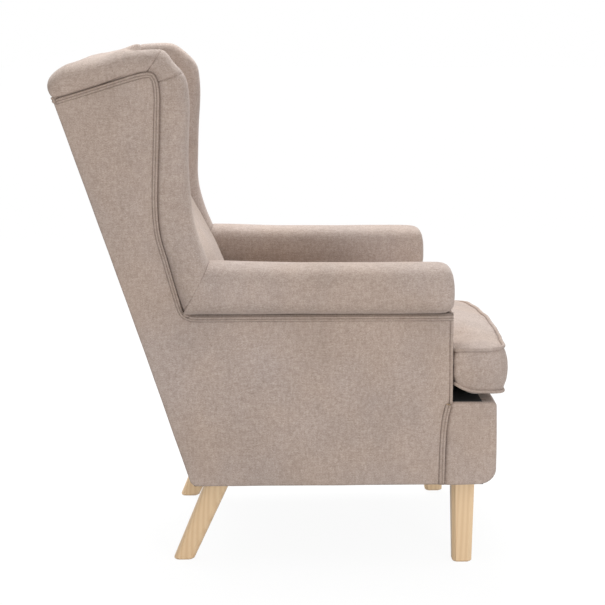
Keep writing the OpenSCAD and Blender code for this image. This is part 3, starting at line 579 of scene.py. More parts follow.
# %% The groups for wood and for plain surfaces
def grain_group():
    """Straight-grained timber: rings of early and late wood, long pores and flecks."""
    tree, given, out = new_group("wood_grain", (
        ("Along", VECTOR, (1, 1, 0.06)), ("Early wood", COLOR, (0.8, 0.6, 0.4, 1)),
        ("Late wood", COLOR, (0.6, 0.42, 0.25, 1)), ("Ring scale", NUMBER, 60.0)))
    stretched = tree.nodes.new("ShaderNodeVectorMath")
    stretched.operation = "MULTIPLY"
    feed(tree, stretched, {0: object_space(tree), 1: given["Along"]})
    space = stretched.outputs["Vector"]
    rings = tree.nodes.new("ShaderNodeTexWave")
    rings.wave_type, rings.bands_direction = "BANDS", "DIAGONAL"
    feed(tree, rings, {"Vector": space, "Scale": given["Ring scale"], "Distortion": 2.6,
                       "Detail": 2.0, "Detail Scale": 0.8})
    bands = spread_out(tree, rings.outputs["Fac"], 0.15, 0.95)
    warp = spread_out(tree, noise_node(tree, space, 9, 3, 0.5), 0.35, 0.7, 0.0, 0.35)
    late = maths(tree, "MULTIPLY_ADD", bands, 0.55, warp)
    pores = noise_node(tree, space, 620, 3, 0.6)
    fleck = spread_out(tree, pores, 0.58, 0.72, 0.0, 0.4)
    color = mixed(tree, late, given["Early wood"], given["Late wood"])
    feed(tree, out, {"Color": mixed(tree, fleck, color, given["Late wood"]),
                     "Roughness": spread_out(tree, pores, 0.3, 0.7, 0.42, 0.6),
                     "Normal": bumped(tree, pores, 0.25, 0.0004)})
    return tree


ROUGH_SPREAD = 0.07


def speckle_group():
    """A surface whose colour and roughness vary a little, by fine specks and slower patches."""
    tree, given, out = new_group("speckle", (
        ("Base", COLOR, (0.5, 0.5, 0.5, 1)), ("Speck", COLOR, (0.4, 0.4, 0.4, 1)),
        ("Scale", NUMBER, 900.0), ("Rough", NUMBER, 0.8), ("Bump", NUMBER, 0.3),
        ("Bump depth", NUMBER, 0.0004)))
    space = object_space(tree)
    fine = noise_node(tree, space, given["Scale"], 3, 0.6)
    slow = noise_node(tree, space, maths(tree, "DIVIDE", given["Scale"], 12.0), 2, 0.5)
    both = maths(tree, "MULTIPLY_ADD", fine, 0.6, maths(tree, "MULTIPLY", slow, 0.4))
    speck = spread_out(tree, both, 0.35, 0.65)
    uneven = spread_out(tree, both, 0.35, 0.65, -ROUGH_SPREAD, ROUGH_SPREAD)
    feed(tree, out, {"Color": mixed(tree, speck, given["Base"], given["Speck"]),
                     "Roughness": maths(tree, "ADD", given["Rough"], uneven),
                     "Normal": bumped(tree, fine, given["Bump"], given["Bump depth"])})
    return tree


GRAIN, SPECKLE = grain_group(), speckle_group()
print("node groups:", CHENILLE.name, GRAIN.name, SPECKLE.name)


# %% Materials of the pieces
def new_finish(name, group, values, extra):
    """A material: a group with its own values feeds the shader, which gets a few more settings."""
    made = bpy.data.materials.new(name)
    made.use_nodes = True
    tree = made.node_tree
    surface = tree.nodes.new("ShaderNodeGroup")
    surface.node_tree = group
    feed(tree, surface, values)
    color, rough, normal = (surface.outputs[k] for k in ("Color", "Roughness", "Normal"))
    feed(tree, tree.nodes["Principled BSDF"],
         {"Base Color": color, "Roughness": rough, "Normal": normal, **extra})
    return made


def cloth_finish(name, yarn, pale, dark, bump=0.5, sheen=0.25):
    """Chenille in three yarn colours, with the soft sheen of its pile."""
    return new_finish(name, CHENILLE,
                      {"Yarn": yarn, "Pale fibre": pale, "Dark fibre": dark, "Bump": bump},
                      {"Sheen Weight": sheen, "Sheen Roughness": 0.45,
                       "Sheen Tint": (0.9, 0.84, 0.8), "Specular IOR Level": 0.25})


def wood_finish(name, early, late, along=(1, 1, 0.06), scale=60.0, coat=0.0):
    return new_finish(name, GRAIN, {"Along": along, "Early wood": early, "Late wood": late,
                                    "Ring scale": scale},
                      {"Coat Weight": coat, "Coat Roughness": 0.35})


def speckled_finish(name, base, speck, scale, rough, metal=0.0, bump=0.3, depth=0.0004):
    return new_finish(name, SPECKLE, {"Base": base, "Speck": speck, "Scale": scale,
                                      "Rough": rough, "Bump": bump, "Bump depth": depth},
                      {"Metallic": metal})


cover_cloth = cloth_finish("chenille_cover", (0.405, 0.322, 0.277), (0.56, 0.47, 0.415),
                           (0.265, 0.2, 0.163))
welt_cloth = cloth_finish("chenille_welt", (0.39, 0.31, 0.266), (0.52, 0.435, 0.38),
                          (0.26, 0.2, 0.163), 0.4, 0.15)
beech = wood_finish("beech_leg", (0.82, 0.6, 0.37), (0.7, 0.475, 0.27), coat=0.15)
rail_timber = wood_finish("frame_timber", (0.62, 0.45, 0.27), (0.48, 0.32, 0.17),
                          (0.2, 0.2, 0.2), 30.0)
hardboard = speckled_finish("hardboard", (0.24, 0.14, 0.075), (0.16, 0.09, 0.045), 900, 0.75)
zinc_steel = speckled_finish("zinc_steel", (0.62, 0.62, 0.64), (0.5, 0.5, 0.53), 500, 0.36,
                             1.0, 0.1)
black_steel = speckled_finish("black_steel", (0.022, 0.022, 0.022), (0.035, 0.035, 0.035), 700,
                              0.42, 0.0, 0.2)
black_cloth = speckled_finish("black_cloth", (0.01, 0.01, 0.0105), (0.022, 0.022, 0.023), 1400,
                              0.92, 0.0, 0.6)
seat_foam = speckled_finish("seat_foam", (0.82, 0.74, 0.48), (0.74, 0.64, 0.38), 900, 0.9,
                            0.0, 0.7, 0.001)
zip_cloth = speckled_finish("zip_tape", (0.3, 0.24, 0.21), (0.22, 0.17, 0.15), 1500, 0.8)
print("finishes:", len(bpy.data.materials))

# %% [markdown]
# ## Wings
# On the real chair one cloth runs from the groove on the outer side, round the wing's padded
# edge and back along its inside to the back pad. It could be sculpted from a block, but a row of
# rings keeps the edge's section in hand all the way from the arm to the top corner. Each ring
# starts in the groove, rounds the edge and runs on to a point behind the back pad's face. Two
# short seams cross the top front corner where a patch is let in; the rings stand closer there
# and dip a little.

# %% The wing's section and how it changes
TUCK = 0.3
GROOVE_BITE, END_SHARE = 2.6, 0.55  # how far a seam draws the cloth in, and less at the ends
WING_EDGE = [(-0.03, 0.93), (0.02, 0.972), (0.1, 0.995), (0.25, 1.0), (0.5, 0.985), (0.76, 0.9),
             (0.94, 0.7), (1.0, 0.46), (0.94, 0.2), (0.74, 0.05), (0.4, 0.0), (0.2, 0.0),
             (0.02, 0.0)]
ARM_EDGE = [(-0.015, 0.76), (0.012, 0.84), (0.09, 0.93), (0.23, 0.985), (0.42, 1.0),
            (0.62, 0.985), (0.81, 0.91), (0.935, 0.76), (1.0, 0.5), (0.95, 0.22), (0.8, 0.07),
            (0.55, 0.01), (0.3, 0.0)]
EDGE_CENTRE_S, EDGE_CENTRE_W = 0.4, 0.45  # seams draw the cloth towards this place in a section
BITE_FADE = 0.3  # a corner seam ends this far round the section
ARM_LIKE = 2.5  # stations over which the arm's section turns into the wing's
FLARES = [1, 0.66, 0.36, 0.14, 0.04, 0, 0, 0, 0, 0, 0, 0, 0]
INNER_ENDS = [(604, 500), (612, 553), (640, 617), (655, 664), (672, 720), (690, 800), (700, 845),
              (706, 875), (710, 897), (712, 915), (713, 930), (714, 943), (715, 953)]
INNER_SHARES = (0.15, 0.35, 0.55, 0.75, 0.9, 1.0)
INNER_CROWN, BEHIND_PAD, BEHIND_EDGE = 2.5, 26, 30
CORNER_SEAMS = (8.0, 10.2)
HAND_SEWN = {
    "left": {3: (-1, 0), 4: (-3, 0), 5: (-5.5, 0), 6: (-5.5, -1), 7: (-5.5, -2), 8: (-4.8, -6),
             9: (-4, -3.5), 10: (5, -2.6), 11: (2, -1)},
    "right": {4: (1.5, 0), 5: (2.5, 0), 6: (2.7, 0), 7: (4, -1), 8: (6.5, -5.5), 9: (6.5, -3),
              10: (6.8, 0), 11: (3, 0)}}


def pinch(t, seams, width=0.06):
    """1 on a seam, fading to 0 beside it."""
    return max(math.exp(-((t - s) / width) ** 2) for s in seams)


def tucked(ring, way, deep=6.0, draw=2.2):
    """A ring's copy pushed on under the next piece and drawn in, so no hole shows at the seam."""
    centre = [sum(p[k] for p in ring) / len(ring) for k in range(3)]
    push = (0.0, deep, -0.2 * deep) if way > 0 else (0.0, -deep, -0.6 * deep)
    out = []
    for p in ring:
        share = min(1.0, draw / math.dist(p, centre))
        out.append(tuple(v + (c - v) * share + step for v, c, step in zip(p, centre, push)))
    return out


def edge_section(t):
    """The wing's section, which starts as the arm roll's own where the two meet."""
    like_arm = max(0.0, 1 - t / ARM_LIKE)
    return [(a[0] * like_arm + b[0] * (1 - like_arm), a[1] * like_arm + b[1] * (1 - like_arm))
            for a, b in zip(ARM_EDGE, WING_EDGE)]


# %% Both wings
def wing(side):
    stations = len(outline)
    ends = (0.0, stations - 1.0)
    moves = [HAND_SEWN[side].get(i, (0, 0)) for i in range(stations)]
    edge_line = [(y + dy, z + dz) for (y, z), (dy, dz) in zip(outline, moves)]
    wing_groove = groove[FIRST:FIRST + stations]
    rings = []
    for t in seam_steps(stations, (*ends, *CORNER_SEAMS)):
        g, o = along(wing_groove, t), along(edge_line, t)
        flare = max(0.0, along([(f,) for f in FLARES], t)[0])
        end_bite = END_SHARE * GROOVE_BITE * pinch(t, ends)
        seam_bite = GROOVE_BITE * pinch(t, CORNER_SEAMS)
        reach = math.dist(g, o)
        ring = []
        for s, w in smooth_line(edge_section(t), per=4):
            y, z = g[0] + s * (o[0] - g[0]), g[1] + s * (o[1] - g[1])
            x_in = inner_x(z)
            width = SIDE_X + SWELL + flare * (ROLL_OVER - SWELL) - x_in
            x = x_in + w * width
            pull_x, pull_s = x - (x_in + width * EDGE_CENTRE_W), s - EDGE_CENTRE_S
            size = max(1.0, math.hypot(pull_x, pull_s * reach))
            bite = end_bite + seam_bite * min(1.0, max(0.0, (w - EDGE_CENTRE_W) / BITE_FADE))
            ring.append((x - bite * pull_x / size, y - bite * pull_s / size * (o[0] - g[0]),
                         z - bite * pull_s / size * (o[1] - g[1])))
        end_y, end_z = along(INNER_ENDS, t)
        for k in INNER_SHARES:
            y, z = g[0] + k * (end_y - g[0]), g[1] + k * (end_z - g[1])
            ring.append((inner_x(z) - INNER_CROWN * math.sin(math.pi * k) + end_bite, y, z))
        ring.append((inner_x(end_z) + BEHIND_PAD, end_y, end_z))
        ring.append((inner_x(g[1]) + BEHIND_EDGE, g[0] + 0.1 * (end_y - g[0]),
                     g[1] + 0.1 * (end_z - g[1])))
        rings.append(ring)
    return roll("wing_cover", [tucked(rings[0], -1), *rings, tucked(rings[-1], 1)], ends=False)


both_sides(wing, cover_cloth, ("wing_roll", "wing_pad"), depth=0.9, size=70,
           own=True)

# %% [markdown]
# ## Arms
# The arm's roll is foam bent over the arm rail, covered from the groove under its overhang, over
# the top and down inside. A bevelled curve would give the tube but not its ends: the front is
# drawn in to a soft oval, and the rear is cut on the slope where it meets the wing. So it is a
# row of rings whose points can follow that slope. Below it, inside and in front, are flat padded
# panels.

# %% The arm rolls
ROLL_END = [(0, 0.26), (0.012, 0.18), (0.04, 0.115), (0.09, 0.06), (0.17, 0.022), (0.28, 0.004),
            (0.45, 0)]
REAR_END = ((3.5, 0.1), (1.6, 0.4), (0.2, 1.0))  # before the wing's seam, and how far drawn in
ROLL_RISE, RISE_L = 5.0, 200.0  # the roll climbs this much over its last length to the wing
HEM = 3.5  # the roll's cloth ends this far above the groove
ARM_UNDERSIDE = [(0.08, 0.02), (-0.01, 0.12), (-0.02, 0.4)]
ROLL_RINGS = 15
ROLL_MID, MOST_DRAW = (0.5, 0.45), 0.8  # the section is drawn in towards its middle, to a limit
SEAM_GAP, ROLL_DOME = 6, 4.5


def seam_y(z):
    """The sloping seam between the arm's roll and the wing."""
    start, end = groove[FIRST], outline[0]
    return start[0] + (start[1] - z) * (start[0] - end[0]) / (end[1] - start[1])


def arm_roll():
    shape = smooth_line(ARM_EDGE + ARM_UNDERSIDE, closed=True, per=4)
    x_in = inner_x(ARM_TOP - ROLL_H / 3)
    wide = SIDE_X + ROLL_OVER - x_in
    centre = Vector((x_in + wide * ROLL_MID[0], ARM_UNDER + ROLL_H * ROLL_MID[1]))
    lowest = groove[FIRST][1] - 4

    def ring(y_of, draw=0.0, rise=0.0):
        out = []
        for s, w in shape:
            z = ARM_UNDER + HEM + (ROLL_H - HEM) * s
            p = Vector((x_in + wide * w, z + rise * max(0.0, s)))
            away = p - centre
            p -= away.normalized() * min(draw, away.length * MOST_DRAW)
            out.append((p.x, y_of(p.y), p.y))
        return out

    rings = [ring(lambda z, y=ARM_FRONT + share * ROLL_H: y, draw * ROLL_H)
             for share, draw in ROLL_END]
    start, end = ARM_FRONT + ROLL_END[-1][0] * ROLL_H, seam_y(ARM_TOP) - 4
    for k in range(1, ROLL_RINGS):
        share = k / ROLL_RINGS
        rise = ROLL_RISE * max(0.0, 1 - (1 - share) * (end - start) / RISE_L) ** 1.5
        rings.append(ring(lambda z, s=share: start + s * (
            seam_y(max(z, lowest)) - start - SEAM_GAP), rise=rise))
    for back, draw in REAR_END:
        rings.append(ring(lambda z, b=back: seam_y(max(z, lowest)) - b, draw, ROLL_RISE))
    return roll("arm_roll", rings, domes=(ROLL_DOME, 0.0))


both_sides(arm_roll, cover_cloth, ("arm_roll",), depth=0.9, size=65)


# %% The arms' inner pads and front facings
PAD_IN = 33.9
PAD_UNDER_SEAT, PAD_UNDER_ROLL = 26, 8  # how far the arm's pad runs on behind its neighbours
FACING_IN, FACING_GAP = 7.4, 0.6


def back_plane(z, depth):
    """A plane parallel to the outer back, deeper in the chair."""
    return rear_y(z) - depth / math.cos(RECLINE)


def arm_pad():
    low, high = APRON_TOP - PAD_UNDER_SEAT, ARM_UNDER + PAD_UNDER_ROLL
    front, rear_high = ARM_FRONT + 3, seam_y(high)
    shape = [(front, low), (back_plane(low, PAD_IN), low), (rear_high + 8, high - 30),
             (rear_high - 2, high), (front, high)]
    return panel("arm_pad", shape, lambda y, z, h: (inner_x(z) - h, y, z),
                 thick=24, crown=3.5, drop=3, edge=6, spacing=16)


def arm_facing():
    low, high = APRON_TOP + 0.5, ARM_UNDER + HEM + 2.5
    out = SIDE_X - FACING_IN
    shape = [(inner_x(low) + FACING_GAP, low), (out, low), (out, high),
             (inner_x(high) + FACING_GAP, high)]
    return panel("arm_facing", shape, lambda x, z, h: (x, ARM_FRONT + 2.5 - h, z),
                 thick=6, crown=1.8, drop=1.6, edge=5, spacing=9, reach=25)


both_sides(arm_pad, cover_cloth, ("arm_pad",), depth=0.7)
both_sides(arm_facing, cover_cloth, ("arm_facing",), depth=0.5)

# %% [markdown]
# ## The top of the back
# The roll over the back is one long cushion whose ends come down to the groove line in a round
# shoulder. One section drawn across the chair with bevelled ends would be quicker, but the
# shoulder needs its own height at every step. So rings stand across the chair, closer together
# where the shoulder turns. Between the wings the front of the roll is rounded; beside them it
# butts on the wing's own roll with a seam.

# %% The top roll
# Each row: the share of the way in from the end, the roll's height there, its rounded front.
END_SHAPE = [(0.022, -0.05, 0), (0.008, -0.01, 0), (0.001, 0.06, 0), (0.0, 0.15, 0),
             (0.0, 0.27, 0), (0.002, 0.42, 0), (0.012, 0.58, 0), (0.03, 0.7, 0), (0.055, 0.8, 0),
             (0.09, 0.885, 0), (0.13, 0.945, 0), (0.18, 0.985, 0), (0.22, 1, 0),
             (0.245, 1, 0.12), (0.27, 1, 0.55), (0.3, 1, 1), (0.4, 1, 1), (0.55, 1, 1),
             (0.7, 1, 1), (0.85, 1, 1)]
FRONT_ROUND = [(0, -0.055), (-0.11, -0.005), (-0.1, 0.008), (-0.05, 0.008), (0, 0), (0, 0), (0, 0)]


def top_roll():
    half = SIDE_X + SWELL
    base = groove[SEAM:SEAM + 4] + [groove[-1]] * 3
    first, rear = base[0], base[-1]
    under = [(base[3][0], base[3][1] - 4), (base[1][0], base[1][1] - 4)]

    def ring(x, high, rounded, side):
        control = [(by + high * (ty - by) + rounded * qy * WING_DEPTH,
                    bz + high * (tz - bz) + rounded * qz * WING_HEIGHT)
                   for (by, bz), (ty, tz), (qy, qz) in zip(base, top_line, FRONT_ROUND)]
        curve = [(first[0] + 0.6, first[1] + 1)] + control + [(rear[0] + 1, rear[1] + 1)]
        return [(side * x, y + TUCK, z) for y, z in smooth_line(curve, per=5) + under]

    sections = [(half * (1 - s), h, r) for s, h, r in END_SHAPE] + [(0.0, 1, 1)]
    rings = [ring(*s, -1) for s in sections] + [ring(*s, 1) for s in reversed(sections[:-1])]
    return roll("top_roll", rings)


top = dress(rumple(top_roll(), 0.7, 80, 5), cover_cloth, ("top_roll",))
print("top roll:", len(top.data.vertices), "points")

# %% [markdown]
# ## Inside back
# The back pad is a tall crowned pad between the wings, deepest in the small of the back and
# leaning away above it. A subdivided box would be too even, so each ring here has its own width,
# lean and crown. Its edges turn in sharply where the cloth is pulled through between pad and
# wing, which is what draws the dark line down each side.

# %% The back pad
CROWN_SHARES = [(-0.1, 1), (0.24, 1), (0.36, 0.6), (0.47, 0.08), (0.65, 0.12), (0.84, 0.9),
                (0.95, 1), (1.1, 1)]
PAD_STEPS = 40
PAD_FOOT, PAD_HEAD = 22, 40  # how far the pad runs below the seat and ends below the top roll
TURN_W, TURN_IN = 20, 13  # the width of the pad's turned edge, and how far back it goes
SETTLE, DEEPEST = 2.5, 60  # how far its middle has settled, and its depth at the top


def back_pad():
    low, high = APRON_TOP - PAD_FOOT, top_line[0][1] - PAD_HEAD
    rings = []
    for i in range(PAD_STEPS + 1):
        z = low + (high - low) * i / PAD_STEPS
        wide = inner_x(z) - 1.0
        crown = share_between(CROWN_SHARES, (z - APRON_TOP) / (CHAIR_TOP - APRON_TOP))
        settle = SETTLE * math.sin(math.pi * i / PAD_STEPS)
        ring = []
        for j in range(PAD_STEPS + 1):
            t = 2 * j / PAD_STEPS - 1
            t = math.copysign(abs(t) ** 0.8, t)
            x = t * wide
            turned = max(0.0, (abs(x) - wide + TURN_W) / TURN_W) ** 2.4 * TURN_IN
            forward = BACK_CROWN * (0.75 - crown * (1 - abs(t) ** 2.5))
            ring.append((x, back_front(z) + forward + turned - settle, z))
        deep = min(back_plane(z, PAD_IN), groove[SEAM][0] + DEEPEST)
        ring += [(wide, (ring[-1][1] + deep) / 2, z), (wide, deep, z), (-wide, deep, z),
                 (-wide, (ring[0][1] + deep) / 2, z)]
        rings.append(ring)
    return roll("back_pad", rings)


dress(rumple(back_pad(), 1.6, 110, 8), cover_cloth, ("back_pad",))

# %% [markdown]
# ## Outer covers
# The sides and the outside of the back are cloth stretched over board, with a thin layer of
# wadding, so they are almost flat: they swell by a millimetre or two and turn in at every edge.
# A plane with a Solidify modifier would keep hard rims, while a panel gets its crown and its
# turned edge from one formula. The side's outline follows the groove line, the rear lean and the
# seam of the apron's return.

# %% Side covers and the outside of the back
ARM_TO_WING = ARM_FRONT + WING_FRONT
SIDE_PATH = [(ARM_FRONT + TUCK, ARM_UNDER), (ARM_TO_WING / 3, ARM_UNDER),
             (ARM_TO_WING * 0.7, ARM_UNDER)] + groove
WELT_LINE = smooth_line(SIDE_PATH, per=6)
RETURN_RISE = APRON_TOP - FLOOR_GAP
RETURN_LINE = [(return_y(FLOOR_GAP + s * RETURN_RISE), FLOOR_GAP + 1 + s * (RETURN_RISE - 6))
               for s in (i / 16 for i in range(17))]
REAR_BOW = 2.0
TOP_REAR = groove[-1]


def bowed_rear(z):
    """The rear plane, drawn in a little between floor side and top as tight cloth is."""
    share = (z - FLOOR_GAP) / (TOP_REAR[1] - FLOOR_GAP)
    return rear_y(z) - 0.3 - REAR_BOW * math.sin(math.pi * min(1, max(0, share)))


def side_cover():
    edge = [p for p in beside(WELT_LINE, WELT_W - 0.4) if p[0] > ARM_FRONT + 7]
    low, rise = FLOOR_GAP + 12, edge[-1][1] - FLOOR_GAP - 12
    rear = [(bowed_rear(z), z) for z in (low + rise * i / 24 for i in range(25))]
    corner = [(rear_y(FLOOR_GAP) - 11, FLOOR_GAP + 0.8), (rear_y(FLOOR_GAP) - 4, FLOOR_GAP + 2.5),
              (rear_y(FLOOR_GAP + 6) - 0.6, FLOOR_GAP + 7)]
    seam = beside(RETURN_LINE, RETURN_WELT / 2 - 0.3)[::-1]
    front = [(ARM_FRONT + 6.6, edge[0][1]), (ARM_FRONT + 6.6, APRON_TOP - 2)]
    return panel("side_cover", corner + rear + edge[::-1] + front + seam,
                 lambda y, z, h: (SIDE_X + h, y, z),
                 thick=8, crown=1.6, drop=2.0, edge=3.5, spacing=12)


def outer_back():
    low, high, x = FLOOR_GAP + 3, TOP_REAR[1] + 2, SIDE_X - 2
    return panel("outer_back", [(-x, low), (x, low), (x, high), (-x, high)],
                 lambda x, z, h: (x, bowed_rear(z) - 0.6 + h, z),
                 thick=9, crown=2.2, drop=3, edge=6, spacing=18)


both_sides(side_cover, cover_cloth, ("side_cover",), depth=0.8, size=90)
dress(rumple(outer_back(), 1.2, 120, 9), cover_cloth, ("outer_back",))

# %% [markdown]
# ## Welts
# A double welt is two cords in one strip of cloth, glued over the staples where two covers meet.
# A single welt is one cord sewn into a seam. A curve with a bevel makes a plain cord quickly, but
# the double one has a valley between its cords and a tape under them, and both swell a little
# where the cloth bunches. So each is a section led along its seam in rings.

# %% Double welts
CORD_SHARES = (0, 0.02, 0.08, 0.16, 0.25, 0.34, 0.42, 0.47, 0.5)
CORD_SHARES += tuple(1 - share for share in reversed(CORD_SHARES[:-1]))
TAPE_SHARES, TAPE_DEEP = (0.85, 0.15), 3.6
LIFT, VALLEY, EDGE_DROP, BUNCH = -0.7, -0.4, 2.5, 0.07
GUTTER, GUTTER_DEEP = 2.4, 3.2  # the groove between a roll and the welt that follows it


def cord_height(share, width):
    """How far a double welt stands up at a share of its width: two cords and the dip between."""
    centre = 0.25 if share < 0.5 else 0.75
    round_up = math.sqrt(max(0.0, (width / 4) ** 2 - ((share - centre) * width) ** 2))
    up = LIFT + round_up - (EDGE_DROP if share == 0 else 0.0)
    return max(up, VALLEY) if abs(share - 0.5) < 0.1 else up


def double_welt(name, path, shift, width, gutter=False):
    """Two cords beside a flat path (y, z); a gutter leaves the dark line along a roll."""
    start, wide = (shift + GUTTER, width - GUTTER) if gutter else (shift, width)
    lines = [beside(path, start + share * wide) for share in CORD_SHARES]
    backs = [beside(path, start + share * wide) for share in TAPE_SHARES]
    above = beside(path, shift - 3)
    floor_x = SIDE_X - GUTTER_DEEP
    tape_x = floor_x - 0.6 if gutter else SIDE_X - TAPE_DEEP
    rings = []
    for i in range(len(path)):
        bunch = 1 + BUNCH * bunching(i * 0.61, path[i][1])
        ring = [(SIDE_X + cord_height(share, width) * bunch, *line[i])
                for share, line in zip(CORD_SHARES, lines)]
        if gutter:
            ring[:1] = [(floor_x, *above[i]), (floor_x, *lines[0][i])]
        rings.append(ring + [(tape_x, *line[i]) for line in backs])
    return roll(name, rings)


def side_welt():
    return double_welt("side_welt", WELT_LINE, TUCK, WELT_W, True)


def base_welt():
    return double_welt("base_welt", RETURN_LINE, -RETURN_WELT / 2, RETURN_WELT)


def back_welt():
    """The double welt across the outside back, under the top roll."""
    top_z, half, steps = TOP_REAR[1] + 1, SIDE_X - 3, 45
    rings = []
    for x in (half * (i / steps - 1) for i in range(2 * steps + 1)):
        cords = [(top_z - share * WELT_W, cord_height(share, WELT_W)) for share in CORD_SHARES]
        tape = [(top_z - WELT_W * share, -TAPE_DEEP) for share in TAPE_SHARES]
        rings.append([(x, rear_y(z) + up, z) for z, up in cords + tape])
    return roll("back_welt", rings)


both_sides(side_welt, welt_cloth, ("side_welt",))
both_sides(base_welt, welt_cloth, ("base_welt",))
dress(back_welt(), welt_cloth, ("back_welt",))


# %% The single welt down each arm front
WELT_R = 3.5


def facing_welt():
    low, length = APRON_TOP - 3, ARM_UNDER - WELT_W - APRON_TOP + 8
    line = [(SIDE_X - WELT_R - 0.5, ARM_FRONT + WELT_R - 0.3, low + length * i / 40)
            for i in range(41)]
    return roll("facing_welt", cord_rings(line, WELT_R, 12, 0.06))


both_sides(facing_welt, welt_cloth, ("facing_welt",))

# %% [markdown]
# ## Apron
# The front rail's padding is wrapped in one cloth that turns under at the floor side and runs a
# hand's breadth along each side to the return seam. A rounded box would do for the front alone,
# but the returns end on a curved seam. So it is a grid: one way round the plan, from seam to
# seam, the other way from the underside, up the face and over the top edge.

# %% The apron's plan and heights
UNDER_R, TOP_EDGE_R, CORNER_R = 29.0, 10.0, 16.0
SIDE_STEPS, TURN_STEPS, FRONT_STEPS, FACE_STEPS = 10, 6, 46, 12
APRON_CROWN = 1.5
RETURN_LENGTH, RETURN_TURN, RETURN_IN = 80, 5, 2.2  # the cloth turns in before the return's seam
FRONT_TUCK = 20.0  # the top edge's cloth goes down this far behind the face
CORNER_X = SIDE_X - CORNER_R
REAR_FOLD = {"side": 0, "turn": 20, "front": 34}  # how far the turned-under cloth runs back


def inset(z, low_r, high_r):
    """How far the face stands back at a height, for its two rounded edges."""
    if z < FLOOR_GAP + low_r:
        return low_r - math.sqrt(max(0.0, low_r ** 2 - (FLOOR_GAP + low_r - z) ** 2))
    if z > APRON_TOP - high_r:
        return high_r - math.sqrt(max(0.0, high_r ** 2 - (z - APRON_TOP + high_r) ** 2))
    return 0.0


def apron_heights():
    quarter = [math.radians(a) for a in (0, 12, 25, 40, 55, 70, 82, 90)]
    straight = APRON_TOP - TOP_EDGE_R - FLOOR_GAP - UNDER_R
    return [*(FLOOR_GAP + UNDER_R * (1 - math.cos(a)) for a in quarter),
            *(FLOOR_GAP + UNDER_R + straight * i / FACE_STEPS for i in range(1, FACE_STEPS)),
            *(APRON_TOP - TOP_EDGE_R * (1 - math.sin(a)) for a in quarter)]


def apron_plan():
    """Places round the apron: which part, which side, and how far along it, as share or x."""
    sides = [i / SIDE_STEPS for i in range(SIDE_STEPS + 1)]
    turns = [i / TURN_STEPS for i in range(1, TURN_STEPS)]
    front = [CORNER_X - 2 * CORNER_X * i / FRONT_STEPS for i in range(FRONT_STEPS + 1)]
    return [*(("side", 1, 1 - v) for v in sides), *(("turn", 1, v) for v in turns),
            *(("front", 0, x) for x in front),
            *(("turn", -1, 1 - v) for v in turns), *(("side", -1, v) for v in sides)]


# %% The apron
def face_point(kind, side, v, z):
    back, in_side = inset(z, UNDER_R, TOP_EDGE_R), inset(z, 3.0, 7.0)
    crown = APRON_CROWN * math.sin(math.pi * (z - FLOOR_GAP) / (APRON_TOP - FLOOR_GAP))
    if kind == "side":
        y = back + CORNER_R + v * (return_y(z) - RETURN_WELT / 2 + 0.3 - back - CORNER_R)
        roll_in = RETURN_IN * max(0.0, 1 - (1 - v) * RETURN_LENGTH / RETURN_TURN) ** 2
        return side * (SIDE_X - in_side - roll_in), y, z
    if kind == "turn":
        a = v * math.pi / 2
        return (side * (CORNER_X - in_side * (1 - v) + CORNER_R * math.cos(a)),
                back + CORNER_R - CORNER_R * math.sin(a) - crown * v * 0.3, z)
    return v, back - crown * (1 - (v / CORNER_X) ** 4), z


def tucked_at(kind, side, v, inside):
    """Where the top edge's cloth goes down behind the face."""
    start, end = (CORNER_X, CORNER_R), (inside, ARM_FRONT - 0.5)
    if kind == "front" and abs(v) <= inside:
        return v, FRONT_TUCK
    if kind == "turn":
        return side * start[0], start[1]
    share = v if kind == "side" else (CORNER_X - abs(v)) / (CORNER_X - inside)
    x, y = (a + (b - a) * share for a, b in zip(start, end))
    return (side * x if kind == "side" else math.copysign(x, v)), y


def apron():
    inside = inner_x(APRON_TOP)
    rings = []
    for kind, side, v in apron_plan():
        ring = [face_point(kind, side, v, z) for z in apron_heights()]
        top, low = ring[-1], ring[0]
        x, y = tucked_at(kind, side, v, inside)
        ring += [((top[0] + x) / 2, (top[1] + y) / 2, APRON_TOP + 0.4), (x, y, APRON_TOP - 0.2),
                 (x, y, APRON_TOP - 5)]
        x, y = low[0] * (0.9 if kind == "side" else 0.82), low[1] + REAR_FOLD[kind]
        rings.append(ring + [(x, y, FLOOR_GAP + 6), (x, y, FLOOR_GAP + 1)])
    return roll("apron", rings)


dress(rumple(apron(), 0.8, 70, 12), cover_cloth, ("apron",))

# %% [markdown]
# ## Cloths that hide the inside, and painted shade under the cushion's ears
# A black cloth lies on the springs under the cushion, and another closes the chair's underside.
# The deck's cloth runs on over the front rail, and under each ear of the cushion a black sheet
# lies on the rail's top as painted shade, to darken the gap there. They could be simulated as
# cloth, but they are tacked tight along their edges, so a panel with the faint quilting of its
# own weight looks the same and takes no time.

# %% Deck, dust cover, and the black sheets of painted shade under the ears
DECK_X, DECK_FRONT, DECK_REAR = inner_x(APRON_TOP) - 0.5, 12.6, back_front(APRON_TOP) + 4
DUST_X, DUST_FRONT, DUST_REAR = SIDE_X - 5, 26.5, back_plane(FLOOR_GAP + 2, 4.3) - 1
# Black sheets under the cushion's ears: painted shade that darkens the gap over the apron's top.
EAR_SHADE_X, EAR_SHADE_FRONT, EAR_SHADE_BACK = SIDE_X - 9, 30.0, ARM_FRONT + 2.0


def flat_cloth(name, x0, x1, y0, y1, z, way, **form):
    """A panel that lies flat at a height and faces up (1) or down (-1)."""
    return panel(name, [(x0, y0), (x1, y0), (x1, y1), (x0, y1)],
                 lambda u, v, h: (u, v, z + way * h), **form)


# A black sheet of painted shade, lying on the apron's top under one ear of the cushion.
def ear_lining():
    return flat_cloth("ear_lining", DECK_X, EAR_SHADE_X, EAR_SHADE_FRONT, EAR_SHADE_BACK, APRON_TOP + 1.5,
                      1, thick=0.8, crown=0.1, drop=0.6, edge=5, spacing=14)


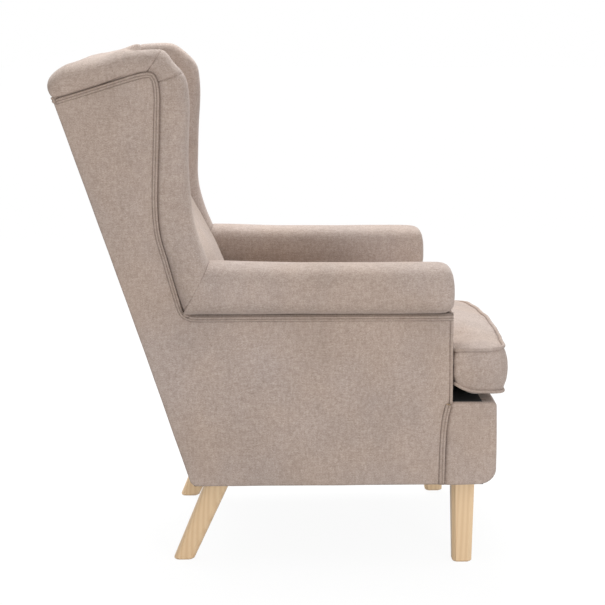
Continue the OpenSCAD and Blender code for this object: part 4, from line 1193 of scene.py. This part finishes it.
deck = flat_cloth("seat_deck", -DECK_X, DECK_X, DECK_FRONT, DECK_REAR, APRON_TOP + 2.8, 1,
                  thick=24, crown=0.1, drop=1.5, edge=7, spacing=26)
dress(rumple(deck, 0.3, 120, 14), black_cloth, ("seat_deck",))
dust = flat_cloth("dust_cover", -DUST_X, DUST_X, DUST_FRONT, DUST_REAR, FLOOR_GAP + 0.3, -1,
                  thick=0.9, crown=-0.2, drop=0.0, edge=7, spacing=26)
dress(rumple(dust, 0.15, 90, 15), black_cloth, ("dust_cover",))
# Both ears get their black sheet of painted shade.
for painted_shade_piece in both_sides(ear_lining, black_cloth, ()):
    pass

# %% [markdown]
# ## The loose seat cushion
# A T-shaped box cushion: a top and a bottom panel and a boxing strip between, with a corded seam
# round each panel. It is the softest thing on the chair, so it is simulated: a closed form a
# little under its size is remeshed, its seams are pinned, and air pressure swells the panels
# between them, as foam and wadding do. A cap keeps every point near its start.

# %% The cushion's plan
NOSE, NOSE_R, NOSE_BOW = 12.0, 48.0, 13.0  # past the apron's face, its corners, its bow
BOXING, SAG, CROWN = 82.0, 18.0, 22.0
SWELL_BOX = 8.0
WELT_LOW = APRON_TOP + 3 + TUCK + SAG
WELT_HIGH = WELT_LOW + BOXING
CUSHION_BACK = SEAT_DEPTH - 3 * SWELL_BOX
WELT_OFF = WELT_R * 0.9
EAR_BACK = ARM_FRONT + 1 - WELT_OFF - WELT_R
STEM_X, EAR_X = inner_x(APRON_TOP) - 2 - SWELL_BOX, SIDE_X - SWELL_BOX
STEM_R, EAR_R = 16.0, 8.0


def bow_at(x):
    return NOSE_BOW * (1 - min(1.0, abs(x) / EAR_X) ** 2)


def rounded(corners, steps=6):
    """A closed outline whose corners (point, radius) are turned by quarter arcs."""
    out = []
    for i, (p, r) in enumerate(corners):
        p, a, b = Vector(p), Vector(corners[i - 1][0]), Vector(corners[(i + 1) % len(corners)][0])
        a, b = (a - p).normalized(), (b - p).normalized()
        for q in (math.pi / 2 * k / steps for k in range(steps + 1)):
            out.append(tuple(p + (a + b) * r - b * r * math.cos(q) - a * r * math.sin(q)))
    return out


def cushion_plan(off=0.0):
    f, e, b = -NOSE - off, EAR_BACK + off, CUSHION_BACK + off
    x, s = EAR_X + off, STEM_X + off
    plan = rounded([((x, f), NOSE_R), ((x, e), EAR_R), ((s, e), EAR_R / 2), ((s, b), STEM_R),
                    ((-s, b), STEM_R), ((-s, e), EAR_R / 2), ((-x, e), EAR_R), ((-x, f), NOSE_R)])
    return [(u, v - bow_at(u) * max(0.0, min(1.0, (NOSE_R - NOSE - v) / NOSE_R)))
            for u, v in resampled(plan, 9.0)]


# %% The cushion's starting form
BOX_SWELL = [(0.0, 0.0), (0.1, 3.4), (0.27, 7.4), (0.5, 9.0), (0.73, 7.4), (0.9, 3.4), (1.0, 0.0)]
GRID_STEP, RIM_GAP = 16.0, 8  # between the panels' inner points, and from them to the seam
SOFT_LOW, SOFT_HIGH = 30, 55  # how far from its seam each panel comes to its full height


def cushion_shell(name, off, low, high, sag, crown, swell=1.0):
    """A closed T-shaped box: rings of the plan up its sides, and a crowned panel on each end."""
    base = cushion_plan(off)
    count = len(base)
    points, faces = [], []
    for share, out in BOX_SWELL:
        wide = cushion_plan(off + out * swell)
        nearest = [min(wide, key=lambda q, b=b: (q[0] - b[0]) ** 2 + (q[1] - b[1]) ** 2)
                   for b in base]
        row = range(len(points), len(points) + count)
        if points:
            faces += band(range(row[0] - count, row[0]), row)
        points += [place(u, v, low + share * (high - low)) for u, v in nearest]
    grid = np.array([(x, y) for x in np.arange(-EAR_X, EAR_X, GRID_STEP)
                     for y in np.arange(-NOSE - NOSE_BOW, CUSHION_BACK, GRID_STEP)])
    grid = grid[within(grid, base)]
    flat, tris = filled(base, grid[gap_to(grid, base) > RIM_GAP])
    for z_at, rise, soft in ((low, -sag, SOFT_LOW), (high, crown, SOFT_HIGH)):
        lift = rise * (1 - np.exp(-(gap_to(flat, base) / soft) ** 1.3))
        first = len(points)
        points += [place(u, v, z_at + h) for (u, v), h in zip(flat, lift)]
        faces += [tuple(first + k for k in t) for t in tris]
    return mesh_object(name, points, faces)


cushion = cushion_shell("cushion_cover", 0.0, WELT_LOW, WELT_HIGH, SAG, CROWN)
print("cushion start: %d points, plan %d points" % (len(cushion.data.vertices),
                                                    len(cushion_plan())))


# %% Even faces and pinned seams for the cushion
VOXEL, PIN_REACH = 0.006, 9.0  # the new faces' size in metres, and how far the seams hold


def search_tree(points):
    tree = kdtree.KDTree(len(points))
    for i, p in enumerate(points):
        tree.insert(p, i)
    tree.balance()
    return tree


def remeshed(made):
    """Rebuilds a closed form from even faces."""
    remesh = made.modifiers.new("remesh", "REMESH")
    remesh.mode, remesh.voxel_size = "VOXEL", VOXEL
    for other in bpy.context.selected_objects:
        other.select_set(False)
    bpy.context.view_layer.objects.active = made
    made.select_set(True)
    bpy.ops.object.modifier_apply(modifier=remesh.name)


def pin_near(made, pins):
    """A vertex group that holds the points near some places, fully at them and less beside them."""
    tree = search_tree(pins)
    held = made.vertex_groups.new(name="seams")
    for v in made.data.vertices:
        away = tree.find(v.co)[2] / MM
        if away < PIN_REACH:
            held.add([v.index], min(1.0, 1.6 - 1.6 * away / PIN_REACH), "REPLACE")
    return held


# %% The cushion as cloth under pressure
PRESSURE, LAST_FRAME = 4.0, 20
MOST_MOVE = 6.0  # no point moves further than this


def simulated(made, held):
    """Where the points of a mesh are after some frames as cloth under pressure."""
    cloth = made.modifiers.new("cloth", "CLOTH")
    settings = cloth.settings
    settings.quality, settings.mass, settings.bending_stiffness = 6, 0.3, 4
    settings.tension_stiffness = settings.compression_stiffness = 30
    settings.use_pressure, settings.uniform_pressure_force = True, PRESSURE
    settings.vertex_group_mass = held.name
    settings.effector_weights.gravity = 0
    cloth.collision_settings.use_collision = cloth.collision_settings.use_self_collision = False
    cloth.point_cache.frame_start, cloth.point_cache.frame_end = 1, LAST_FRAME
    for frame_at in range(1, LAST_FRAME + 1):
        bpy.context.scene.frame_set(frame_at)
    shaped = made.evaluated_get(bpy.context.evaluated_depsgraph_get())
    ends = [v.co.copy() for v in shaped.to_mesh().vertices]
    shaped.to_mesh_clear()
    made.modifiers.remove(cloth)
    bpy.context.scene.frame_set(1)
    return ends


def inflate(made, pins):
    """Remeshes a closed form and swells it under pressure, held along the pinned lines."""
    remeshed(made)
    ends = simulated(made, pin_near(made, pins))
    largest = 0.0
    for v, end in zip(made.data.vertices, ends):
        move = end - v.co
        largest = max(largest, move.length)
        if move.length > MOST_MOVE * MM:
            move = move.normalized() * MOST_MOVE * MM
        v.co += move
    made.data.update()
    made.data.shade_smooth()
    print("%s: %d points, moved up to %.1f mm" % (made.name, len(ends), largest / MM))


inflate(cushion, [place(u, v, z) for z in (WELT_LOW, WELT_HIGH) for u, v in cushion_plan()])


# %% Pressed against the arms and the back, and slack at one end
STEM_SIDE, STEM_REAR, EAR_REST = 243.0, 491.0, ARM_FRONT - 1.0
DROOPS = {-1: 2.0, 1: 15.0}  # how far the top of each ear has sunk
EAR_LIFT, NOSE_HANG = 17.0, 5.0
LIFT_FROM, HANG_FROM, HANG_LENGTH = 38, 20, 30
EAR_START, EAR_SPAN = STEM_SIDE + 6, 40  # where the ears begin to lift, and over what width


def height_share(z):
    """0 at the cushion's lower welt, 1 at its upper one."""
    return min(1.0, max(0.0, (z - WELT_LOW) / BOXING))


def slack(x, z):
    """How far a point of the cushion has sunk: most at the top of the far ear."""
    return DROOPS[1 if x > 0 else -1] * (abs(x) / EAR_X) ** 1.6 * height_share(z)


def low_edge_lift(x, y, z):
    """The ears' lower rear corners are tucked up against the arms, and the nose hangs a little."""
    lowness = 1 - height_share(z)
    if y < HANG_FROM:
        return -NOSE_HANG * min(1.0, (HANG_FROM - y) / HANG_LENGTH) * lowness
    if abs(x) < EAR_START or y > EAR_REST + 2:
        return 0.0
    back = min(1.0, max(0.0, (y - LIFT_FROM) / (EAR_REST - LIFT_FROM)))
    reach = back * min(1.0, (abs(x) - EAR_START) / EAR_SPAN)
    return EAR_LIFT * reach ** 2 * lowness


def settled(x, y, z):
    """A place on the cushion, in metres, once it has sunk and been tucked in."""
    return place(x, y, z - slack(x, z) + low_edge_lift(x, y, z))


def press(made):
    """Flattens a cushion piece where it rests on the arms and back, and lets its top sink."""
    for v in made.data.vertices:
        x, y, z = v.co.x / MM, v.co.y / MM + MIDDLE, v.co.z / MM
        over_x, over_y = abs(x) - STEM_SIDE, y - EAR_REST
        if over_x > 0 and over_y > 0:
            if over_x < over_y:
                x = math.copysign(STEM_SIDE, x)
            else:
                y = EAR_REST
        v.co = settled(x, min(y, STEM_REAR), z)
    made.data.update()
    return made


press(cushion)


# %% Puckers along the cushion's seams
PUCKER, PUCKER_REACH, PUCKER_PITCH = 1.5, 10.0 * MM, 17.0 * MM
FINE_PITCH, NEW_BEAT = 0.45, 400  # a finer beat on top, and points after which the beat changes


def seam_puckers(made, lines):
    """Small gathers that run off each seam, deepest at it."""
    lengths = []
    for line in lines:
        run = 0.0
        for k, p in enumerate(line):
            run += (p - line[k - 1]).length if k else 0.0
            lengths.append(run)
    tree = search_tree([p for line in lines for p in line])
    for v in made.data.vertices:
        _, index, away = tree.find(v.co)
        if away < PUCKER_REACH * 3:
            s = lengths[index] / PUCKER_PITCH
            beat = noise.noise(Vector((s, index // NEW_BEAT, 2.0)))
            beat += 0.5 * noise.noise(Vector((s / FINE_PITCH, 4.0, 9.0)))
            v.co += v.normal * beat * PUCKER * MM * math.exp(-away / PUCKER_REACH)
    made.data.update()


seam_puckers(cushion, [[settled(u, v, z) for u, v in cushion_plan()]
                       for z in (WELT_LOW, WELT_HIGH)])
rumple(cushion, 1.6, 75, 21)


# %% The cushion's cover and welts
def skin_of(made):
    """A search tree over a mesh's surface."""
    data = made.data
    return BVHTree.FromPolygons([v.co for v in data.vertices],
                                [tuple(p.vertices) for p in data.polygons])


def cushion_welt(name, z, side, skin):
    """A cord that follows the seam as it lies on the finished cover."""
    path = []
    for u, v in cushion_plan(WELT_OFF):
        away = settled(u, v, z + side * WELT_OFF)
        nearest = skin.find_nearest(away)[0]
        lie = nearest + (away - nearest).normalized() * WELT_R * MM * 0.8
        path.append((lie.x / MM, lie.y / MM + MIDDLE, lie.z / MM))
    for _ in range(2):
        near = zip(path[-1:] + path[:-1], path, path[1:] + path[:1])
        path = [tuple((a + 2 * b + c) / 4 for a, b, c in zip(*three)) for three in near]
    return roll(name, cord_rings(path, WELT_R, 10, 0.07, closed=True, out=(0, 0, 1)),
                closed=True)


cover_skin = skin_of(cushion)
dress(cushion, cover_cloth, ("cushion_cover",), "cushion")
for name, z, side in (("cushion_welt_top", WELT_HIGH, 1), ("cushion_welt_bottom", WELT_LOW, -1)):
    dress(cushion_welt(name, z, side, cover_skin), welt_cloth, (name,), "cushion")
finer = cushion.modifiers.new("finer", "SUBSURF")
finer.levels = finer.render_levels = 1
print("cushion cover:", len(cushion.data.vertices), "points")

# %% [markdown]
# ## Inside the cushion
# The cover holds a block of foam cut to the same T, a little smaller all round, so it comes from
# the cover's own function. It closes at the rear with a zip sewn into the boxing. The zip shows
# when the cushion is lifted out. Its teeth could be painted on, but teeth catch the light, so it
# is made of small blocks: two tapes, the teeth, a slider and its puller.

# %% Foam core and zip
CASING = 7.0
core = cushion_shell("cushion_core", -CASING, WELT_LOW + 4, WELT_HIGH - 4, SAG - 8, CROWN - 8, 0.5)
dress(press(core), seat_foam, ("cushion_core",), "cushion")
BLOCK_SIDES = [(0, 1, 3, 2), (4, 6, 7, 5), (0, 4, 5, 1), (2, 3, 7, 6), (0, 2, 6, 4), (1, 5, 7, 3)]
TAPE_T, TAPE_GAP = 0.7, 1.6
TOOTH_PITCH, TOOTH_SHIFT = 3.0, 0.7
TOOTH = (0.9, 1.3, 1.8)  # half its length, its depth, half its height
SLIDER = ((4, 15), (0.2, 2.4), (-3.8, 3.8))
PULLER = ((13, 36), (2.5, 3.3), (-2.8, 2.8))


def blocks(name, spans):
    """Many small blocks as one mesh, each given by its two spans of x, y and z in metres."""
    points, faces = [], []
    for x_span, y_span, z_span in spans:
        faces += [tuple(len(points) + k for k in side) for side in BLOCK_SIDES]
        points += [(x, y, z) for x in x_span for y in y_span for z in z_span]
    return linked(name, mesh_of(name, points, faces))


def cushion_zip():
    low, high = (Vector(v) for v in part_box("cushion_zip"))
    middle = (low.z + high.z) / 2

    def span(start, from_mm, to_mm):
        return start + from_mm * MM, start + to_mm * MM

    tape = span(low.y, 0, TAPE_T)
    spans = [((low.x, high.x), tape, (low.z, middle - TAPE_GAP * MM)),
             ((low.x, high.x), tape, (middle + TAPE_GAP * MM, high.z))]
    half, deep, tall = TOOTH
    for i in range(int((high.x - low.x) / (TOOTH_PITCH * MM))):
        x, up = low.x + TOOTH_PITCH * MM * (i + 0.5), TOOTH_SHIFT if i % 2 else -TOOTH_SHIFT
        spans.append((span(x, -half, half), span(low.y, 0, deep),
                      span(middle, up - tall, up + tall)))
    for along_x, out, around in (SLIDER, PULLER):
        spans.append((span(low.x, *along_x), span(low.y, *out), span(middle, *around)))
    return blocks("cushion_zip_made", spans)


dress(cushion_zip(), zip_cloth, ("cushion_zip",), "cushion")

# %% [markdown]
# ## Webbing in the back
# Four elastic straps run up the back frame behind the pad, stapled to the low and the top rail.
# Nobody sees them in use, and plain boxes could stand for them, but they carry the sitter's back.
# So they are flat woven bands with a ribbed face and the small belly that a stretched band keeps.

# %% The straps
STRAPS, STRAP_W, STRAP_T = 4, 60.0, 2.0
STRAP_BELLY, STRAP_RIB = 1.2, 0.25
STRAP_STEPS, RIB_STEPS = 24, 16


def strap(number):
    low, high = (Vector(v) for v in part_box("back_webbing"))
    span = high.x - low.x - STRAP_W * MM
    middle = low.x + STRAP_W * MM / 2 + span * number / (STRAPS - 1)
    across, up = math.cos(RECLINE), math.sin(RECLINE)
    front, foot = low.y / MM + STRAP_T * across / 2, low.z / MM + STRAP_T * up
    length = (high.z / MM - foot) / across - STRAP_T
    shares = [j / RIB_STEPS for j in range(RIB_STEPS + 1)]
    rings = []
    for i in range(STRAP_STEPS + 1):
        run = length * i / STRAP_STEPS
        belly = STRAP_BELLY * math.sin(math.pi * i / STRAP_STEPS)
        ring = []
        for face in (-1, 1):
            for j, share in enumerate(shares if face < 0 else shares[::-1]):
                out = face * (STRAP_T / 2 - STRAP_RIB * (j % 2)) - belly
                ring.append((middle / MM + (share - 0.5) * STRAP_W,
                             MIDDLE + front + run * up + out * across,
                             foot + run * across - out * up))
        rings.append(ring)
    return roll("strap_%d" % number, rings)


straps = joined("back_straps", [strap(k) for k in range(STRAPS)])
dress(straps, black_cloth, ("back_webbing",))

# %% [markdown]
# ## Wood and metal
# The legs, plates, bolts and the timber frame keep their CAD shapes, which are already right, and
# get finishes: pale beech under a thin lacquer, bare rail timber, zinc and black steel.

# %% Finishes on the CAD nodes
FINISH_OF = {"leg_wood": beech, "frame_timber": rail_timber, "hardboard": hardboard,
             "spring_steel": zinc_steel, "black_steel": black_steel, "black_cloth": black_cloth,
             "foam": seat_foam, "zip_tape": zip_cloth, "fabric": cover_cloth,
             "welt_fabric": welt_cloth}
slot_of = {part["node"]: part["material_slot"] for part in frame["record"]["subparts"]}
for node, made in frame["nodes"].items():
    made.data.materials.clear()
    made.data.materials.append(FINISH_OF[slot_of[node]])
print("nodes with finishes:", len(frame["nodes"]))

# %% [markdown]
# ## Stage, light and camera
# The chair stands on a plain pale floor. The camera is where the photograph was taken: a little
# over four metres to the chair's right, about level with the top of the back and looking
# slightly down. Its place came from matching pairs of near and far features. The light is a pale
# sky, one large lamp over the chair's far side and a small low one at its near side. The
# background is pure white only where it is seen, straight, mirrored or through glass. The floor
# glows white there too, and a share of its own shading keeps the shadow faint.

# %% The camera
scene = bpy.context.scene
scene.view_settings.view_transform = "Standard"
SENSOR, FOCAL_PIXELS, PICTURE_PIXELS = 36.0, 2024.15, 605
TURN, DIP = 0.0315, 0.1472  # the camera looks along +X, turned to the front and down

camera = linked("camera", bpy.data.cameras.new("camera"))
camera.data.sensor_width = SENSOR
camera.data.lens = FOCAL_PIXELS / PICTURE_PIXELS * SENSOR
camera.location = (-4.2, 0.087, 1.098)
scene.camera = camera


def aim(made, way):
    """Turns a camera or a lamp to look along a direction."""
    made.rotation_mode = "QUATERNION"
    made.rotation_quaternion = way.to_track_quat("-Z", "Y")


level_way = Vector((math.cos(TURN), -math.sin(TURN), 0)) * math.cos(DIP)
aim(camera, level_way - Vector((0, 0, math.sin(DIP))))
print("camera lens: %.1f mm" % camera.data.lens)


# %% Floor, sky and lamps
SKY_LEVEL, FLOOR_GREY, FLOOR_GLOW, SHADOW_SHARE = 0.72, 0.55, 1.11, 0.16


def white_rays(tree):
    """1 for the rays that show the background: from the camera, mirrored, or through glass."""
    path = tree.nodes.new("ShaderNodeLightPath").outputs
    some = maths(tree, "MAXIMUM", path["Is Camera Ray"], path["Is Glossy Ray"])
    return maths(tree, "MAXIMUM", some, path["Is Transmission Ray"])


def floor_finish():
    """White to the camera and in reflections, with a share of its own shading for the shadow."""
    made = bpy.data.materials.new("pale_floor")
    made.use_nodes = True
    tree = made.node_tree
    shader, out = tree.nodes["Principled BSDF"], tree.nodes["Material Output"]
    feed(tree, shader, {"Base Color": (FLOOR_GREY,) * 3, "Roughness": 0.9})
    glow, mix = tree.nodes.new("ShaderNodeEmission"), tree.nodes.new("ShaderNodeMixShader")
    feed(tree, glow, {"Strength": FLOOR_GLOW})
    feed(tree, mix, {0: maths(tree, "MULTIPLY", white_rays(tree), 1 - SHADOW_SHARE),
                     1: shader.outputs["BSDF"], 2: glow.outputs["Emission"]})
    feed(tree, out, {"Surface": mix.outputs["Shader"]})
    return made


def lamp(name, at, to, size, power):
    light = bpy.data.lights.new(name, "AREA")
    light.shape, light.size, light.energy = "SQUARE", size, power
    made = linked(name, light)
    made.location = at
    aim(made, Vector(to) - Vector(at))


floor_corners = [(-30, -30, 0), (30, -30, 0), (30, 30, 0), (-30, 30, 0)]
floor = linked("floor", mesh_of("floor", floor_corners, [(0, 1, 2, 3)]))
floor.data.materials.append(floor_finish())

scene.world = bpy.data.worlds.new("studio")
scene.world.use_nodes = True
sky = scene.world.node_tree
level = maths(sky, "MULTIPLY_ADD", white_rays(sky), 1 - SKY_LEVEL, SKY_LEVEL)
feed(sky, sky.nodes["Background"], {"Color": (1, 1, 1), "Strength": level})

lamp("over_lamp", (2.0, 0.2, 2.9), (0, 0, 0.45), 2.0, 128)
lamp("low_side_lamp", (-3.2, -1.1, 0.6), (0, 0.1, 0.4), 0.6, 35)
print("lamps:", len(bpy.data.lights))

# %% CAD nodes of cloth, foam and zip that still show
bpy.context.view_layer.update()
for node, made in frame["nodes"].items():
    if not made.hide_render and slot_of[node] in ("fabric", "welt_fabric", "foam", "zip_tape"):
        print("still showing:", node)
